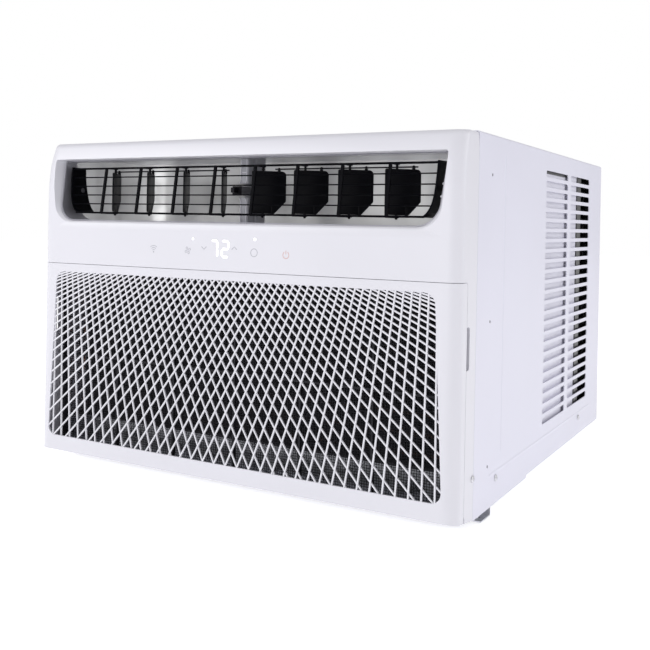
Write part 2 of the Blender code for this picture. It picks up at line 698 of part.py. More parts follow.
# ---------------------------------------------------------------- electrical and small parts
def make_control_box():
    case = box("control_box", (180, 318), (64, 165.7), (60, 296))
    cut(case, box("inner", (181.5, 316.5), (50, 164.2), (61.5, 294.5)))
    return finish(case, "galvanised")


def make_terminal_cover():
    return finish(box("terminal_cover", (282.4, 298), (247, 277), (120, 168)), "black_plastic")


def make_drain_tray():
    tray = box("drain_tray", (-320, 320), (7, 60), (6.4, 51.7))
    cut(tray, box("channel", (-314, 314), (12, 42), (36, 80)),
        box("rear", (-314, 314), (48, 55), (16, 80)))
    return finish(tray, "foam")


def make_small_parts():
    make_terminal_cover()
    finish(box("control_board", (190, 308), (158.4, 160.0), (150, 285)), "board_green")
    finish(spin("run_capacitor", [(21, 61.8), (21, 146), (19, 148)], (225, 130, 0), (0, 0, 1), 16),
           "aluminium")
    finish(box("display_board", (-150, 120), (-53.1, -51.5), (296, 336)), "board_green")
    finish(spin("drain_plug", [(9, 1.2), (9, 3.0), (6, 4.3)], (-240, 600, 0), (0, 0, 1), 12),
           "rubber")
    for side, word in ((-1, "left"), (1, "right")):
        for place, y, z in (("seam", -3.6, 52.0), ("front", 83.0, 33.0), ("rear", 518.0, 33.0)):
            make_screw("%s_screw_%s" % (place, word), side * (XH + 0.1), y, z, (side, 0, 0))
        make_screw("rail_screw_%s" % word, side * RAIL_SCREW_X, 50.0, 2.0 - RAIL_DROP, (0, 0, 1))


# ---------------------------------------------------------------- air moving
def make_fan_motor():
    motor = spin("fan_motor", [(24, 196), (58, 200), (62, 206), (62, 300), (58, 306), (24, 310)],
                 (SHAFT_X, 0, SHAFT_Z), (0, 1, 0), 24)
    cut(motor, spin("bore", [(7.0, 180), (7.0, 330)], (SHAFT_X, 0, SHAFT_Z), (0, 1, 0), 12))
    return finish(motor, "black_steel")


def make_motor_bracket():
    plate = prism_y("motor_bracket", [(-120, 6.4), (120, 6.4), (70, 300), (-70, 300)], 248, 250)
    cut(plate, spin("hole", [(62.6, 230), (62.6, 270)], (SHAFT_X, 0, SHAFT_Z), (0, 1, 0), 24))
    weld(plate, box("foot", (-120, 120), (248, 278), (6.4, 8.8)))
    return finish(plate, "galvanised")


def make_shaft():
    shaft = spin("fan_shaft", [(6.0, 66), (6.0, 484)], (SHAFT_X, 0, SHAFT_Z), (0, 1, 0), 16)
    return finish(shaft, "steel", (SHAFT_X, 200.0, SHAFT_Z))


def make_condenser_fan():
    centre = (SHAFT_X, 0, SHAFT_Z)
    fan = spin("condenser_fan", [(40, 430), (44, 434), (44, 476), (40, 480)], centre, (0, 1, 0), 24)
    blades = []
    for k in range(5):
        a0 = 2 * math.pi * k / 5
        rings = []
        for radius, twist, sweep in ((40, 34, 0.0), (95, 26, 0.08), (145, 21, 0.2), (183, 18, 0.34)):
            ring = []
            spread = math.radians(46)
            for s, t in ((-1, -1.3), (1, -1.3), (1, 1.3), (-1, 1.3)):
                a = a0 + sweep + s * spread / 2
                y = 455 + s * math.tan(math.radians(twist)) * min(radius, 90) * 0.36 + t
                ring.append((SHAFT_X + radius * math.cos(a), y, SHAFT_Z + radius * math.sin(a)))
            rings.append(ring)
        blades.append(loft("blade", rings))
    weld(fan, *blades)
    weld(fan, ring_body("slinger", 187, 181, (SHAFT_X, 455, SHAFT_Z), (0, 1, 0), 14, 32))
    cut(fan, spin("bore", [(6.5, 400), (6.5, 500)], centre, (0, 1, 0), 16))
    return finish(fan, "black_plastic", (SHAFT_X, 455.0, SHAFT_Z))


def make_blower_wheel():
    centre = (SHAFT_X, 0, SHAFT_Z)
    wheel = spin("blower_wheel", [(108, 144), (108, 147)], centre, (0, 1, 0), 32)
    parts = [ring_body("rim", 110, 90, (SHAFT_X, 74, SHAFT_Z), (0, 1, 0), 2.0, 32),
             spin("hub", [(20, 124), (20, 146)], centre, (0, 1, 0), 16)]
    for k in range(20):
        a = 2 * math.pi * k / 20
        ring = []
        for radius, lag in ((92, -1.1), (92, 1.1), (107, 6.1), (107, 3.9)):
            turn = a + lag / 57.3 * 1.6
            ring.append((SHAFT_X + radius * math.cos(turn), SHAFT_Z + radius * math.sin(turn)))
        parts.append(prism_y("blade", ring, 74, 145))
    weld(wheel, *parts)
    cut(wheel, spin("bore", [(6.5, 60), (6.5, 170)], centre, (0, 1, 0), 16))
    return finish(wheel, "grey_plastic", (SHAFT_X, 110.0, SHAFT_Z))


def make_blower_scroll():
    """Scroll case round the wheel, open towards the evaporator and up into the duct."""
    lip = 344.7
    curve = [(SHAFT_X - (124 + 26 * k / 16) * math.cos(math.pi * k / 16),
              SHAFT_Z - (124 + 26 * k / 16) * math.sin(math.pi * k / 16)) for k in range(17)]
    outline = [(-140, lip), (-124, 300)] + curve + [(150, 300), (144, lip)]
    inner = [(x * 0.985, z + 30 if z == lip else SHAFT_Z + (z - SHAFT_Z) * 0.985)
             for x, z in outline]
    case = prism_y("blower_scroll", outline, 62, 165.7)
    cut(case, prism_y("inner", inner, 63.5, 164.2),
        spin("inlet", [(92, 40), (92, 70)], (SHAFT_X, 0, SHAFT_Z), (0, 1, 0), 24),
        spin("bore", [(16, 140), (16, 180)], (SHAFT_X, 0, SHAFT_Z), (0, 1, 0), 16))
    return finish(case, "galvanised")


def make_bulkhead():
    wall = box("bulkhead", (-331, 331), (166, 169), (6.4, 466))
    cut(wall, spin("hole", [(20, 150), (20, 190)], (SHAFT_X, 0, SHAFT_Z), (0, 1, 0), 16),
        spin("pipe", [(8, 150), (8, 190)], (300, 0, 310), (0, 1, 0), 12),
        spin("pipe", [(5, 150), (5, 190)], (-285, 0, 90), (0, 1, 0), 12))
    return finish(wall, "foam")


def make_fan_shroud():
    wall = box("fan_shroud", (-331, 331), (523, 525), (6.4, 462))
    wings = [box("wing", sorted((s * 331, s * 329.4)), (292, 524), (52, 462)) for s in (-1, 1)]
    weld(wall, *wings)
    weld(wall, ring_body("orifice", 203, 199, (SHAFT_X, 512, SHAFT_Z), (0, 1, 0), 12, 32))
    cut(wall, spin("hole", [(199.5, 480), (199.5, 560)], (SHAFT_X, 0, SHAFT_Z), (0, 1, 0), 32),
        *[spin("pipe", [(8, 510), (8, 540)], (x, 0, z), (0, 1, 0), 12)
          for x, z in ((285, 340), (-285, 90))])
    return finish(wall, "galvanised")


# ---------------------------------------------------------------- assembly
def build():
    clear_scene()
    make_cabinet()
    make_base_pan()
    make_sill_rail()
    make_front_frame()
    make_intake_grille()
    make_air_filter()
    make_louver_frame()
    for side, word in ((-1, "left"), (1, "right")):
        turn = VANE_TURN[side]
        for k, x in enumerate(vane_positions(side)):
            make_vane("vane_%s_%d" % (word, k + 1), x, turn)
        make_tie_bar("tie_bar_" + word, side, turn)
    make_discharge_duct()
    make_centre_divider()
    make_coil("evaporator_coil", (-318, 318), (8, 46), (52, 340), "fins", 12)
    make_coil("condenser_coil", (-320, 320), (602, 648), (6.4, 458), "fins", 12)
    make_compressor()
    for k, degrees in enumerate((90, 210, 330)):
        make_grommet("grommet_%d" % (k + 1), math.radians(degrees))
    make_fan_motor()
    make_motor_bracket()
    make_shaft()
    make_condenser_fan()
    make_blower_wheel()
    make_blower_scroll()
    make_bulkhead()
    make_fan_shroud()
    make_drain_tray()
    make_control_box()
    make_accumulator()
    make_filter_drier()
    make_pipes()
    make_small_parts()


build()
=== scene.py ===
"""Window air conditioner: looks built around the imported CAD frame.

Numbers are millimetres in the case frame: x to the right, y backwards from the seam between the
front and the cabinet, z up from the cabinet's lower edge. `to_row` turns them into metres in the
frame that the CAD nodes are in.
"""
import json
import math

import bmesh
import bpy
from mathutils import Matrix, Vector


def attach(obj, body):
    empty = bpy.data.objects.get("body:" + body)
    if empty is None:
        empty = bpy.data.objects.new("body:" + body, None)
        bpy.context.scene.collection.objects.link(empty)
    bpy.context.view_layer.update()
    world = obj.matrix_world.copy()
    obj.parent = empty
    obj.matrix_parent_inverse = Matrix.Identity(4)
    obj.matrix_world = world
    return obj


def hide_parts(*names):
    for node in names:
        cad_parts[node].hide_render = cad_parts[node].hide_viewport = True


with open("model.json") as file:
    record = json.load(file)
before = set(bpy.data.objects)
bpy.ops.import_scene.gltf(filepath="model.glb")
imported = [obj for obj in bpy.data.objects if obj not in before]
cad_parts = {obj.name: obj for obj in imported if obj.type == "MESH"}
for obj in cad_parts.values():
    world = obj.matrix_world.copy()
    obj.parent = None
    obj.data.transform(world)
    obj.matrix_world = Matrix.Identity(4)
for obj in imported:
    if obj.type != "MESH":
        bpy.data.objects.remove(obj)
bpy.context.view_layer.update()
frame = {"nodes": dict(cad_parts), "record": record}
NODES = frame["nodes"]

# ---------------------------------------------------------------- dimensions (mm)
MM = 0.001
CASE_W, CASE_D, CASE_H = 673.0, 664.0, 472.0
HALF_W = CASE_W / 2
FRONT_REACH = 56.0                      # how far the front stands before the seam
CORNER_RADIUS = 20.0                    # of the front's upright corners
RAIL_DROP, RAIL_SCREW_X = 13.0, 322.0   # sill rail below the case, and its screws
SHIFT = Vector((0.0, (FRONT_REACH - CASE_D) / 2, RAIL_DROP))
SHEET, WALL, GAP = 1.5, 2.6, 0.6        # cabinet sheet, moulded wall, seam width
SEAM_Z, DOOR_BACK = 289.0, -31.0        # top of the door and the plane that it closes against
DOOR_CORNER = 5.0                       # radius of the door's upper rear corners
HINGE_Y, HINGE_Z = -33.5, 9.0
SILL_TOP = 12.9
POCKET_Z = (185.0, 236.5)               # finger pocket beside the door
OUTLET_TOP, OUTLET_BOTTOM = 444.0, 353.5
TILT_Y, TILT_Z = -16.0, 400.0           # axis of the louver frame's end pins
LEAN = math.radians(8.6)                # how far the louver frame's face leans at rest
SLOT_ROWS, SLOT_PITCH, SLOT_H, SLOT_R = 25, 15.48, 9.6, 3.4
SLOT_TOP_Z = 437.5
SLOT_COLUMNS = ((297.0, 425.0), (443.0, 572.0))
HOLE_Y, HOLE_ZS, HOLE_R = 51.0, (421.0, 236.5, 54.5), 2.0
SIDES = ((-1, "left"), (1, "right"))
WHITE = (1.0, 1.0, 1.0)


# ---------------------------------------------------------------- mesh helpers
def to_row(x, y, z):
    return (Vector((x, y, z)) + SHIFT) * MM


def mesh_object(name, points, faces):
    mesh = bpy.data.meshes.new(name)
    mesh.from_pydata([tuple(to_row(*p)) for p in points], [], faces)
    ob = bpy.data.objects.new(name, mesh)
    bpy.context.scene.collection.objects.link(ob)
    bm = bmesh.new()
    bm.from_mesh(mesh)
    bmesh.ops.recalc_face_normals(bm, faces=bm.faces)
    bm.to_mesh(mesh)
    bm.free()
    return ob


def loft_data(rings, close=False):
    """Points and faces of a skin over equal rings: capped, or closed back onto its first ring."""
    n, count = len(rings[0]), len(rings)
    points = [p for ring in rings for p in ring]
    faces = []
    for k in range(count if close else count - 1):
        a, b = k * n, ((k + 1) % count) * n
        faces += [(a + i, a + (i + 1) % n, b + (i + 1) % n, b + i) for i in range(n)]
    if not close:
        faces.append(tuple(reversed(range(n))))
        faces.append(tuple(range((count - 1) * n, count * n)))
    return points, faces


def loft(name, rings, close=False):
    return mesh_object(name, *loft_data(rings, close))


def many(name, bodies):
    """One mesh from several lofts, each given as its list of rings."""
    points, faces = [], []
    for rings in bodies:
        p, f = loft_data(rings)
        faces += [tuple(i + len(points) for i in face) for face in f]
        points += p
    return mesh_object(name, points, faces)


def box_rings(x, y, z):
    (x0, x1), (y0, y1), (z0, z1) = x, y, z
    ring = [(x0, y0), (x1, y0), (x1, y1), (x0, y1)]
    return [[(a, b, z0) for a, b in ring], [(a, b, z1) for a, b in ring]]


def box(name, x, y, z):
    return loft(name, box_rings(x, y, z))


def prism_x(name, poly, x0, x1):
    return loft(name, [[(x, a, b) for a, b in poly] for x in (x0, x1)])


def prism_y(name, poly, y0, y1):
    return loft(name, [[(a, y, b) for a, b in poly] for y in (y0, y1)])


def prism_z(name, poly, z0, z1):
    return loft(name, [[(a, b, z) for a, b in poly] for z in (z0, z1)])


def circle(cx, cy, r, n=24):
    return [(cx + r * math.cos(2 * math.pi * k / n), cy + r * math.sin(2 * math.pi * k / n))
            for k in range(n)]


def quarter(n):
    """Angles of a quarter turn in n steps."""
    return [math.pi / 2 * k / n for k in range(n + 1)]


def both(side, near, far):
    """Lowest and highest x of a span on the left (-1) or right (1) side."""
    return sorted((side * near, side * far))


def spin_rings(profile, centre, axis, n=32):
    """Rings of a turned body: the profile's (radius, height) pairs about an axis."""
    centre, axis = Vector(centre), Vector(axis).normalized()
    side = axis.orthogonal().normalized()
    up = axis.cross(side)
    return [[tuple(centre + axis * h + (side * math.cos(2 * math.pi * k / n)
                                        + up * math.sin(2 * math.pi * k / n)) * r)
             for k in range(n)] for r, h in profile]


def spin(name, profile, centre, axis, n=32):
    return loft(name, spin_rings(profile, centre, axis, n))


def rounded(points, n=6):
    """(x, y, radius) corners to a closed outline with rounded corners."""
    out = []
    for k, (x, y, r) in enumerate(points):
        here = Vector((x, y))
        a = Vector(points[k - 1][:2]) - here
        b = Vector(points[(k + 1) % len(points)][:2]) - here
        a.normalize()
        b.normalize()
        half = a.angle(b) / 2
        if r <= 0:
            out.append((x, y))
            continue
        reach = r / math.tan(half)
        middle = here + (a + b).normalized() * (r / math.sin(half))
        start = here + a * reach - middle
        end = here + b * reach - middle
        turn = start.angle_signed(end)
        for j in range(n + 1):
            t = -turn * j / n
            out.append((middle.x + start.x * math.cos(t) - start.y * math.sin(t),
                        middle.y + start.x * math.sin(t) + start.y * math.cos(t)))
    return out


def combine(target, tool, operation):
    mod = target.modifiers.new("b", "BOOLEAN")
    mod.operation, mod.object, mod.solver = operation, tool, "EXACT"
    graph = bpy.context.evaluated_depsgraph_get()
    mesh = bpy.data.meshes.new_from_object(target.evaluated_get(graph))
    target.modifiers.remove(mod)
    target.data = mesh
    mesh.name = target.name
    bpy.data.objects.remove(tool)
    return target


def cut(target, *tools):
    for tool in tools:
        combine(target, tool, "DIFFERENCE")
    return target


def weld(target, *tools):
    for tool in tools:
        combine(target, tool, "UNION")
    return target


def smooth(ob, angle, bevel):
    mesh = ob.data
    mesh.shade_smooth()
    mesh.set_sharp_from_angle(angle=math.radians(angle))
    if bevel:
        mod = ob.modifiers.new("soft_edges", "BEVEL")
        mod.width, mod.segments = bevel * MM, 2
        mod.limit_method, mod.angle_limit = "ANGLE", math.radians(angle)
        mod.harden_normals = True
        mod.use_clamp_overlap = True


def dress(ob, mat, body="housing", stands_for=(), angle=35.0, bevel=0.0, clean=True):
    """Material, shading and the frame's calls for one piece. `clean` mends what Booleans leave."""
    if clean:
        bm = bmesh.new()
        bm.from_mesh(ob.data)
        bmesh.ops.remove_doubles(bm, verts=bm.verts, dist=3e-6)
        bmesh.ops.dissolve_degenerate(bm, edges=bm.edges, dist=2e-6)
        bmesh.ops.dissolve_limit(bm, angle_limit=math.radians(0.05), verts=bm.verts,
                                 edges=bm.edges)
        bm.to_mesh(ob.data)
        bm.free()
    ob.data.materials.clear()
    ob.data.materials.append(mat)
    smooth(ob, angle, bevel)
    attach(ob, body)
    if stands_for:
        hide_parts(*stands_for)
    return ob


# ---------------------------------------------------------------- materials
def material(name, colour, rough=0.4, metal=0.0, grain=900.0, bump=0.05, tone=0.03,
             stretch=(1.0, 1.0, 1.0), broad=5.0, spec=0.5, rough_span=0.06, pattern="NOISE",
             depth=0.0004):
    """Broad clouds, or spangles, vary colour and roughness. A fine grain makes the relief."""
    mat = bpy.data.materials.new(name)
    mat.use_nodes = True
    nodes, links = mat.node_tree.nodes, mat.node_tree.links
    shader = nodes["Principled BSDF"]
    coord = nodes.new("ShaderNodeTexCoord")
    mapping = nodes.new("ShaderNodeMapping")
    mapping.inputs["Scale"].default_value = stretch
    links.new(coord.outputs["Object"], mapping.inputs["Vector"])
    cloud = nodes.new("ShaderNodeTexNoise")
    cloud.inputs["Scale"].default_value = broad
    cloud.inputs["Detail"].default_value = 4.0
    links.new(mapping.outputs["Vector"], cloud.inputs["Vector"])
    ramp = nodes.new("ShaderNodeValToRGB")
    ramp.color_ramp.elements[0].position, ramp.color_ramp.elements[1].position = 0.3, 0.7
    ramp.color_ramp.elements[0].color = tuple(c * (1 - tone) for c in colour) + (1.0,)
    ramp.color_ramp.elements[1].color = tuple(min(c * (1 + tone), 1.0) for c in colour) + (1.0,)
    if pattern == "NOISE":
        fine = nodes.new("ShaderNodeTexNoise")
        fine.inputs["Detail"].default_value = 2.0
        height = fine.outputs["Fac"]
    else:
        fine = nodes.new("ShaderNodeTexVoronoi")
        height = fine.outputs["Distance"]
    fine.inputs["Scale"].default_value = grain
    links.new(mapping.outputs["Vector"], fine.inputs["Vector"])
    source = cloud.outputs["Fac"]
    if pattern == "SPANGLE":
        split = nodes.new("ShaderNodeSeparateColor")
        links.new(fine.outputs["Color"], split.inputs["Color"])
        source = split.outputs["Red"]
        height = split.outputs["Green"]
    links.new(source, ramp.inputs["Fac"])
    links.new(ramp.outputs["Color"], shader.inputs["Base Color"])
    span = nodes.new("ShaderNodeMapRange")
    span.inputs["To Min"].default_value = max(rough - rough_span, 0.02)
    span.inputs["To Max"].default_value = min(rough + rough_span, 1.0)
    links.new(source, span.inputs["Value"])
    links.new(span.outputs["Result"], shader.inputs["Roughness"])
    relief = nodes.new("ShaderNodeBump")
    relief.inputs["Strength"].default_value = bump
    relief.inputs["Distance"].default_value = depth
    links.new(height, relief.inputs["Height"])
    links.new(relief.outputs["Normal"], shader.inputs["Normal"])
    shader.inputs["Metallic"].default_value = metal
    shader.inputs["Specular IOR Level"].default_value = spec
    return mat


def glow(mat, strength):
    shader = mat.node_tree.nodes["Principled BSDF"]
    shader.inputs["Emission Color"].default_value = WHITE + (1.0,)
    shader.inputs["Emission Strength"].default_value = strength


MAT = {
    "white_plastic": material("satin_white_moulding", (0.655, 0.65, 0.705), 0.36, grain=1400,
                              bump=0.04, tone=0.012),
    "lattice_white": material("lattice_white_moulding", (0.70, 0.695, 0.745), 0.4, grain=1400,
                              bump=0.03, tone=0.012),
    "white_paint": material("white_powder_coat", (0.655, 0.65, 0.745), 0.4, grain=700, bump=0.05,
                            tone=0.014, depth=0.0003),
    "black_plastic": material("satin_black_moulding", (0.003, 0.003, 0.005), 0.5, grain=1500,
                              bump=0.06, tone=0.15, spec=0.14),
    "louver_black": material("matt_black_moulding", (0.0015, 0.0015, 0.003), 0.5, grain=1500,
                             bump=0.06, tone=0.15, spec=0.05),
    "galvanised": material("galvanised_sheet", (0.60, 0.61, 0.65), 0.34, 0.9, grain=90, bump=0.03,
                           tone=0.09, pattern="SPANGLE", rough_span=0.08),
    "aluminium": material("drawn_aluminium", (0.72, 0.73, 0.75), 0.33, 0.95, grain=500,
                          stretch=(1, 1, 8), tone=0.04),
    "copper": material("dull_copper", (0.72, 0.34, 0.18), 0.32, 1.0, grain=300, tone=0.16, broad=30),
    # this black is real enamel on some parts and painted shade on others: the hole discs, the strips
    # behind the slots and the condenser's tubes
    "black_steel": material("black_enamel_and_painted_shade", (0.016, 0.016, 0.019), 0.35, 0.0, grain=600, bump=0.05,
                            tone=0.2),
    "rubber": material("matt_rubber", (0.02, 0.02, 0.02), 0.8, grain=1200, bump=0.2, tone=0.2),
    "filter_mesh": material("dark_filter_plastic", (0.010, 0.010, 0.015), 0.7, grain=900, bump=0.1,
                            tone=0.15),
    "grey_plastic": material("light_grey_moulding", (0.42, 0.42, 0.46), 0.45, grain=1100, bump=0.06,
                             tone=0.05),
    "board_green": material("solder_mask", (0.02, 0.16, 0.07), 0.35, grain=400, bump=0.05, tone=0.2),
    "steel": material("zinc_plated_steel", (0.62, 0.62, 0.65), 0.28, 1.0, grain=600, bump=0.05,
                      tone=0.06, broad=60),
    "fins": material("dark_coated_fins", (0.05, 0.05, 0.06), 0.5, 0.4, grain=300, bump=0.1,
                     tone=0.25, broad=14),
    "foam": material("dark_foam", (0.07, 0.07, 0.08), 0.9, grain=420, bump=0.5, tone=0.2),
    "dark_grey_plastic": material("dark_grey_moulding", (0.05, 0.05, 0.06), 0.5, grain=1100,
                                  bump=0.06, tone=0.1),
    "sleeve": material("grey_outlet_sleeve", (0.36, 0.355, 0.40), 0.33, 0.5, grain=500, bump=0.03,
                       tone=0.16, stretch=(1.0, 0.15, 0.15), broad=9.0, rough_span=0.1),
    "hub": material("charcoal_hub", (0.085, 0.085, 0.10), 0.5, grain=1100, bump=0.05, tone=0.08),
    "divider": material("pale_grey_post", (0.36, 0.36, 0.40), 0.4, grain=1100, bump=0.05, tone=0.05),
    # the two duct sheets below are given a faint glow further down: painted light in the outlet's
    # recess
    "duct": material("duct_sheet_painted_glow", (0.95, 0.95, 0.965), 0.22, 0.62, grain=9, bump=0.08,
                     tone=0.16, stretch=(1.0, 1.0, 0.02), broad=16.0, depth=0.001),
    "duct_top": material("grey_duct_sheet_painted_glow", (0.50, 0.50, 0.53), 0.30, 0.35, grain=9, bump=0.05,
                         tone=0.10, stretch=(1.0, 0.1, 1.0), broad=8.0, depth=0.001),
    "symbol": material("printed_symbol", (0.34, 0.34, 0.39), 0.5, bump=0.0, tone=0.02),
    "power_symbol": material("printed_power_symbol", (0.56, 0.34, 0.33), 0.5, bump=0.0, tone=0.02),
    "wing": material("light_grey_sheet", (0.66, 0.655, 0.74), 0.5, grain=700, bump=0.05, tone=0.05),
    "digit": material("lit_digit", WHITE, 0.4, bump=0.0),
}
# the digits glow as their own lit display; the duct sheet and its grey ceiling plate glow as painted
# light that brightens the outlet's recess
for key, strength in (("digit", 1.0), ("duct", 0.075), ("duct_top", 0.02)):
    glow(MAT[key], strength)

# carried-over nodes take the material of their slot, apart from the shroud behind the slots
SLOT_OF = {part["node"]: part["material_slot"] for part in frame["record"]["subparts"]}
for node, ob in NODES.items():
    key = "wing" if node == "fan_shroud" else SLOT_OF.get(node)
    if key in MAT:
        ob.data.materials.clear()
        ob.data.materials.append(MAT[key])

# ---------------------------------------------------------------- front and door
def front_section(inset, front, radius, back, n=14):
    """Plan of the front: a wide arc that ends in a tighter one where it meets the side."""
    half, face, r = HALF_W - inset, -front + inset, max(radius - inset, 2.0)
    wide, tight, split = 1.12 * r, 0.4 * r, math.radians(54)
    ax, ay = wide * math.sin(split), wide * (1 - math.cos(split))
    reach = ax + tight * (1 - math.sin(split))
    left = []
    for k in range(n + 1):
        a = split * k / n
        left.append((-half + reach - wide * math.sin(a), face + wide * (1 - math.cos(a))))
    for k in range(1, n // 2 + 1):
        a = split + (math.pi / 2 - split) * k / (n // 2)
        left.append((-half + tight - tight * math.sin(a),
                     face + ay + tight * (math.cos(split) - math.cos(a))))
    left.reverse()
    return [(-half, back)] + left + [(-x, y) for x, y in reversed(left)] + [(half, back)]


# height, reach, corner radius and inset of the front from the seam up to its top edge
PROFILE = ((SEAM_Z + GAP, FRONT_REACH, 20.0, 0.0), (395.0, FRONT_REACH, 20.0, 0.0),
           (418.0, 54.6, 20.5, 0.0), (434.0, 52.6, 20.5, 0.0), (448.0, 49.4, 21.0, 0.0),
           (459.0, 45.8, 21.0, 0.2), (466.0, 42.6, 19.0, 0.6), (469.8, 38.4, 17.0, 1.8))


def eased(rows, per=4):
    """Catmull-Rom curve through the rows."""
    out = []
    for k in range(len(rows) - 1):
        a, b = rows[max(k - 1, 0)], rows[k]
        c, d = rows[k + 1], rows[min(k + 2, len(rows) - 1)]
        for j in range(per):
            t = j / per
            out.append(tuple(
                0.5 * (2 * q + (r - p) * t + (2 * p - 5 * q + 4 * r - s) * t * t
                       + (3 * q - p - 3 * r + s) * t ** 3)
                for p, q, r, s in zip(a, b, c, d)))
    return out + [rows[-1]]


def outlet_outline(grow, n=14):
    """Outline of the outlet, grown outwards: less at its sides, and hardly along its sharp top."""
    above, beside = (0.16, 0.6) if grow > 0 else (0.8, 1.0)
    top, bottom = OUTLET_TOP + grow * above, OUTLET_BOTTOM - grow
    half_top, half_low = 312.5 + grow * beside, 308.0 + grow * beside
    r_top, r_low = 2.2 + max(grow, 0.0) * 0.15, 30.0 + grow * 0.5
    right = []
    for a in quarter(n):
        right.append((half_low - r_low + r_low * math.sin(a), bottom + r_low - r_low * math.cos(a)))
    for a in quarter(n // 2):
        right.append((half_top - r_top + r_top * math.cos(a), top - r_top + r_top * math.sin(a)))
    return right + [(-x, z) for x, z in reversed(right)]


def mouth_y(z):
    """Depth of the flare's inner edge: further back towards the top."""
    up = min(max((z - OUTLET_BOTTOM) / (OUTLET_TOP - OUTLET_BOTTOM), 0.0), 1.0)
    return -53.0 + 17.0 * up


# how far the flare stands outside the outlet at each share of its depth
FLARE = ((15.0, 0.0), (9.4, 0.33), (5.0, 0.62), (1.2, 0.86), (0.0, 1.0))


def outlet_flare():
    """Cutter for the outlet. It is deeper at the top, where the louver frame stands further back."""
    rings = []
    for grow, depth in eased(FLARE, 3):
        ring = []
        for x, z in outlet_outline(grow):
            start = -FRONT_REACH - 8.0
            ring.append((x, start + (mouth_y(z) - start) * depth, z))
        rings.append(ring)
    rings.append([(x, 12.0, z) for x, z in outlet_outline(0.0)])
    return loft("flare", rings)


def underside_wedge(y0, y1):
    """Cutter that makes the underside rise towards the room."""
    return prism_x("wedge", [(y0, -30.0), (y1, -30.0), (y1, 1.0 - y1 * 0.14),
                             (y0, 1.0 - y0 * 0.14)], -400.0, 400.0)


def make_front_panel():
    rows = eased(PROFILE)
    outer = loft("front_panel", [[(x, y, z) for x, y in front_section(i, p, r, 0.0)]
                                 for z, p, r, i in rows])
    top = PROFILE[-1][0] - WALL
    inner = loft("inner", [[(x, y, min(z, top)) for x, y in front_section(i + WALL, p, r, 20.0)]
                           for z, p, r, i in rows if 395.0 <= z < top - 0.5]
                 + [[(x, y, top) for x, y in front_section(WALL + 3.0, 38.0, 20.0, 20.0)]])
    ledge = [(x, y, SEAM_Z + GAP + WALL) for x, y in front_section(WALL, FRONT_REACH, 20.0, 20.0)]
    inner_low = loft("inner_low", [ledge, [(x, y, 396.0) for x, y, _ in ledge]])
    lip = loft("lip", [[(x, y, z) for x, y in front_section(i + 0.2, p - 0.2, r, -15.0)]
                       for z, p, r, i in [(340.0, FRONT_REACH, 20.0, 0.0)]
                       + [row for row in rows if 395.0 <= row[0] <= 459.0]])
    lip = cut(lip, box("ends", (-400, 400), (-80, 20), (458.4, 480)),
              *[box("side", both(side, 326, 400), (-80, 20), (300, 480)) for side in (-1, 1)])
    panel = weld(cut(outer, inner, inner_low), lip)
    cut(panel, outlet_flare())
    legs = loft("legs", [[(-HALF_W, DOOR_BACK + GAP, z), (HALF_W, DOOR_BACK + GAP, z), (HALF_W, 0.0, z),
                          (-HALF_W, 0.0, z)] for z in (0.0, SEAM_Z + GAP + 1.0)])
    cut(legs, box("hollow", (-HALF_W + WALL, HALF_W - WALL), (-60, 20), (SILL_TOP, 400)),
        underside_wedge(-70.0, 10.0),
        spin("relief", [(5.6, -400), (5.6, 400)], (0, HINGE_Y, HINGE_Z), (1, 0, 0), 24))
    weld(panel, legs)
    low, high = POCKET_Z
    pocket = rounded([(-40.0, low, 0), (-21.5, low, 4), (-21.5, high, 4), (-40.0, high, 0)])
    cy, cz = DOOR_BACK - DOOR_CORNER, SEAM_Z - DOOR_CORNER
    edge_y, edge_z = DOOR_BACK + GAP + 0.5, SEAM_Z + GAP + 0.5
    reach = DOOR_CORNER + GAP
    fillet = [(edge_y, cz), (edge_y, edge_z), (cy, edge_z)] + [
        (cy + reach * math.sin(a), cz + reach * math.cos(a)) for a in quarter(6)]
    for side in (-1, 1):
        weld(panel, box("block", both(side, 326.0, HALF_W - 0.5), (-30.2, -15.0), (low - 5, high + 5)))
        weld(panel, prism_x("fillet", fillet, *both(side, HALF_W - WALL, HALF_W)))
        cut(panel, prism_x("finger", pocket, *both(side, 328.5, HALF_W + 5)))
    return dress(panel, MAT["white_plastic"], stands_for=["front_frame"],
                 bevel=0.7)


INTAKE_LOW, INTAKE_TOP = 31.0, 277.0
INTAKE_HALF_LOW, INTAKE_HALF_TOP = 318.0, 305.5


def intake_outline(grow=0.0):
    low, top = INTAKE_LOW - grow, INTAKE_TOP + grow
    half_low, half_top = INTAKE_HALF_LOW + grow, INTAKE_HALF_TOP + grow
    return rounded([(-half_low, low, 13.0), (half_low, low, 13.0), (half_top, top, 15.0),
                    (-half_top, top, 15.0)], 8)


def crossing(poly, px, pz, dx, dz):
    """Where a line through (px, pz) enters and leaves a convex outline, as distances along it."""
    spans = []
    for (ax, az), (bx, bz) in zip(poly, poly[1:] + poly[:1]):
        ex, ez = bx - ax, bz - az
        det = dx * ez - dz * ex
        if abs(det) < 1e-9:
            continue
        t = ((ax - px) * ez - (az - pz) * ex) / det
        s = ((ax - px) * dz - (az - pz) * dx) / det
        if -1e-9 <= s <= 1 + 1e-9:
            spans.append(t)
    return (min(spans), max(spans)) if len(spans) > 1 and max(spans) - min(spans) > 2 else None


FAN_X, FAN_PITCH, FAN_DRIFT = 297.5, 10.73, 0.0128      # where the bars cross the intake's top
FAN_LEAN, FAN_LEAN_STEP = 1.14, 1.465                   # degrees from upright


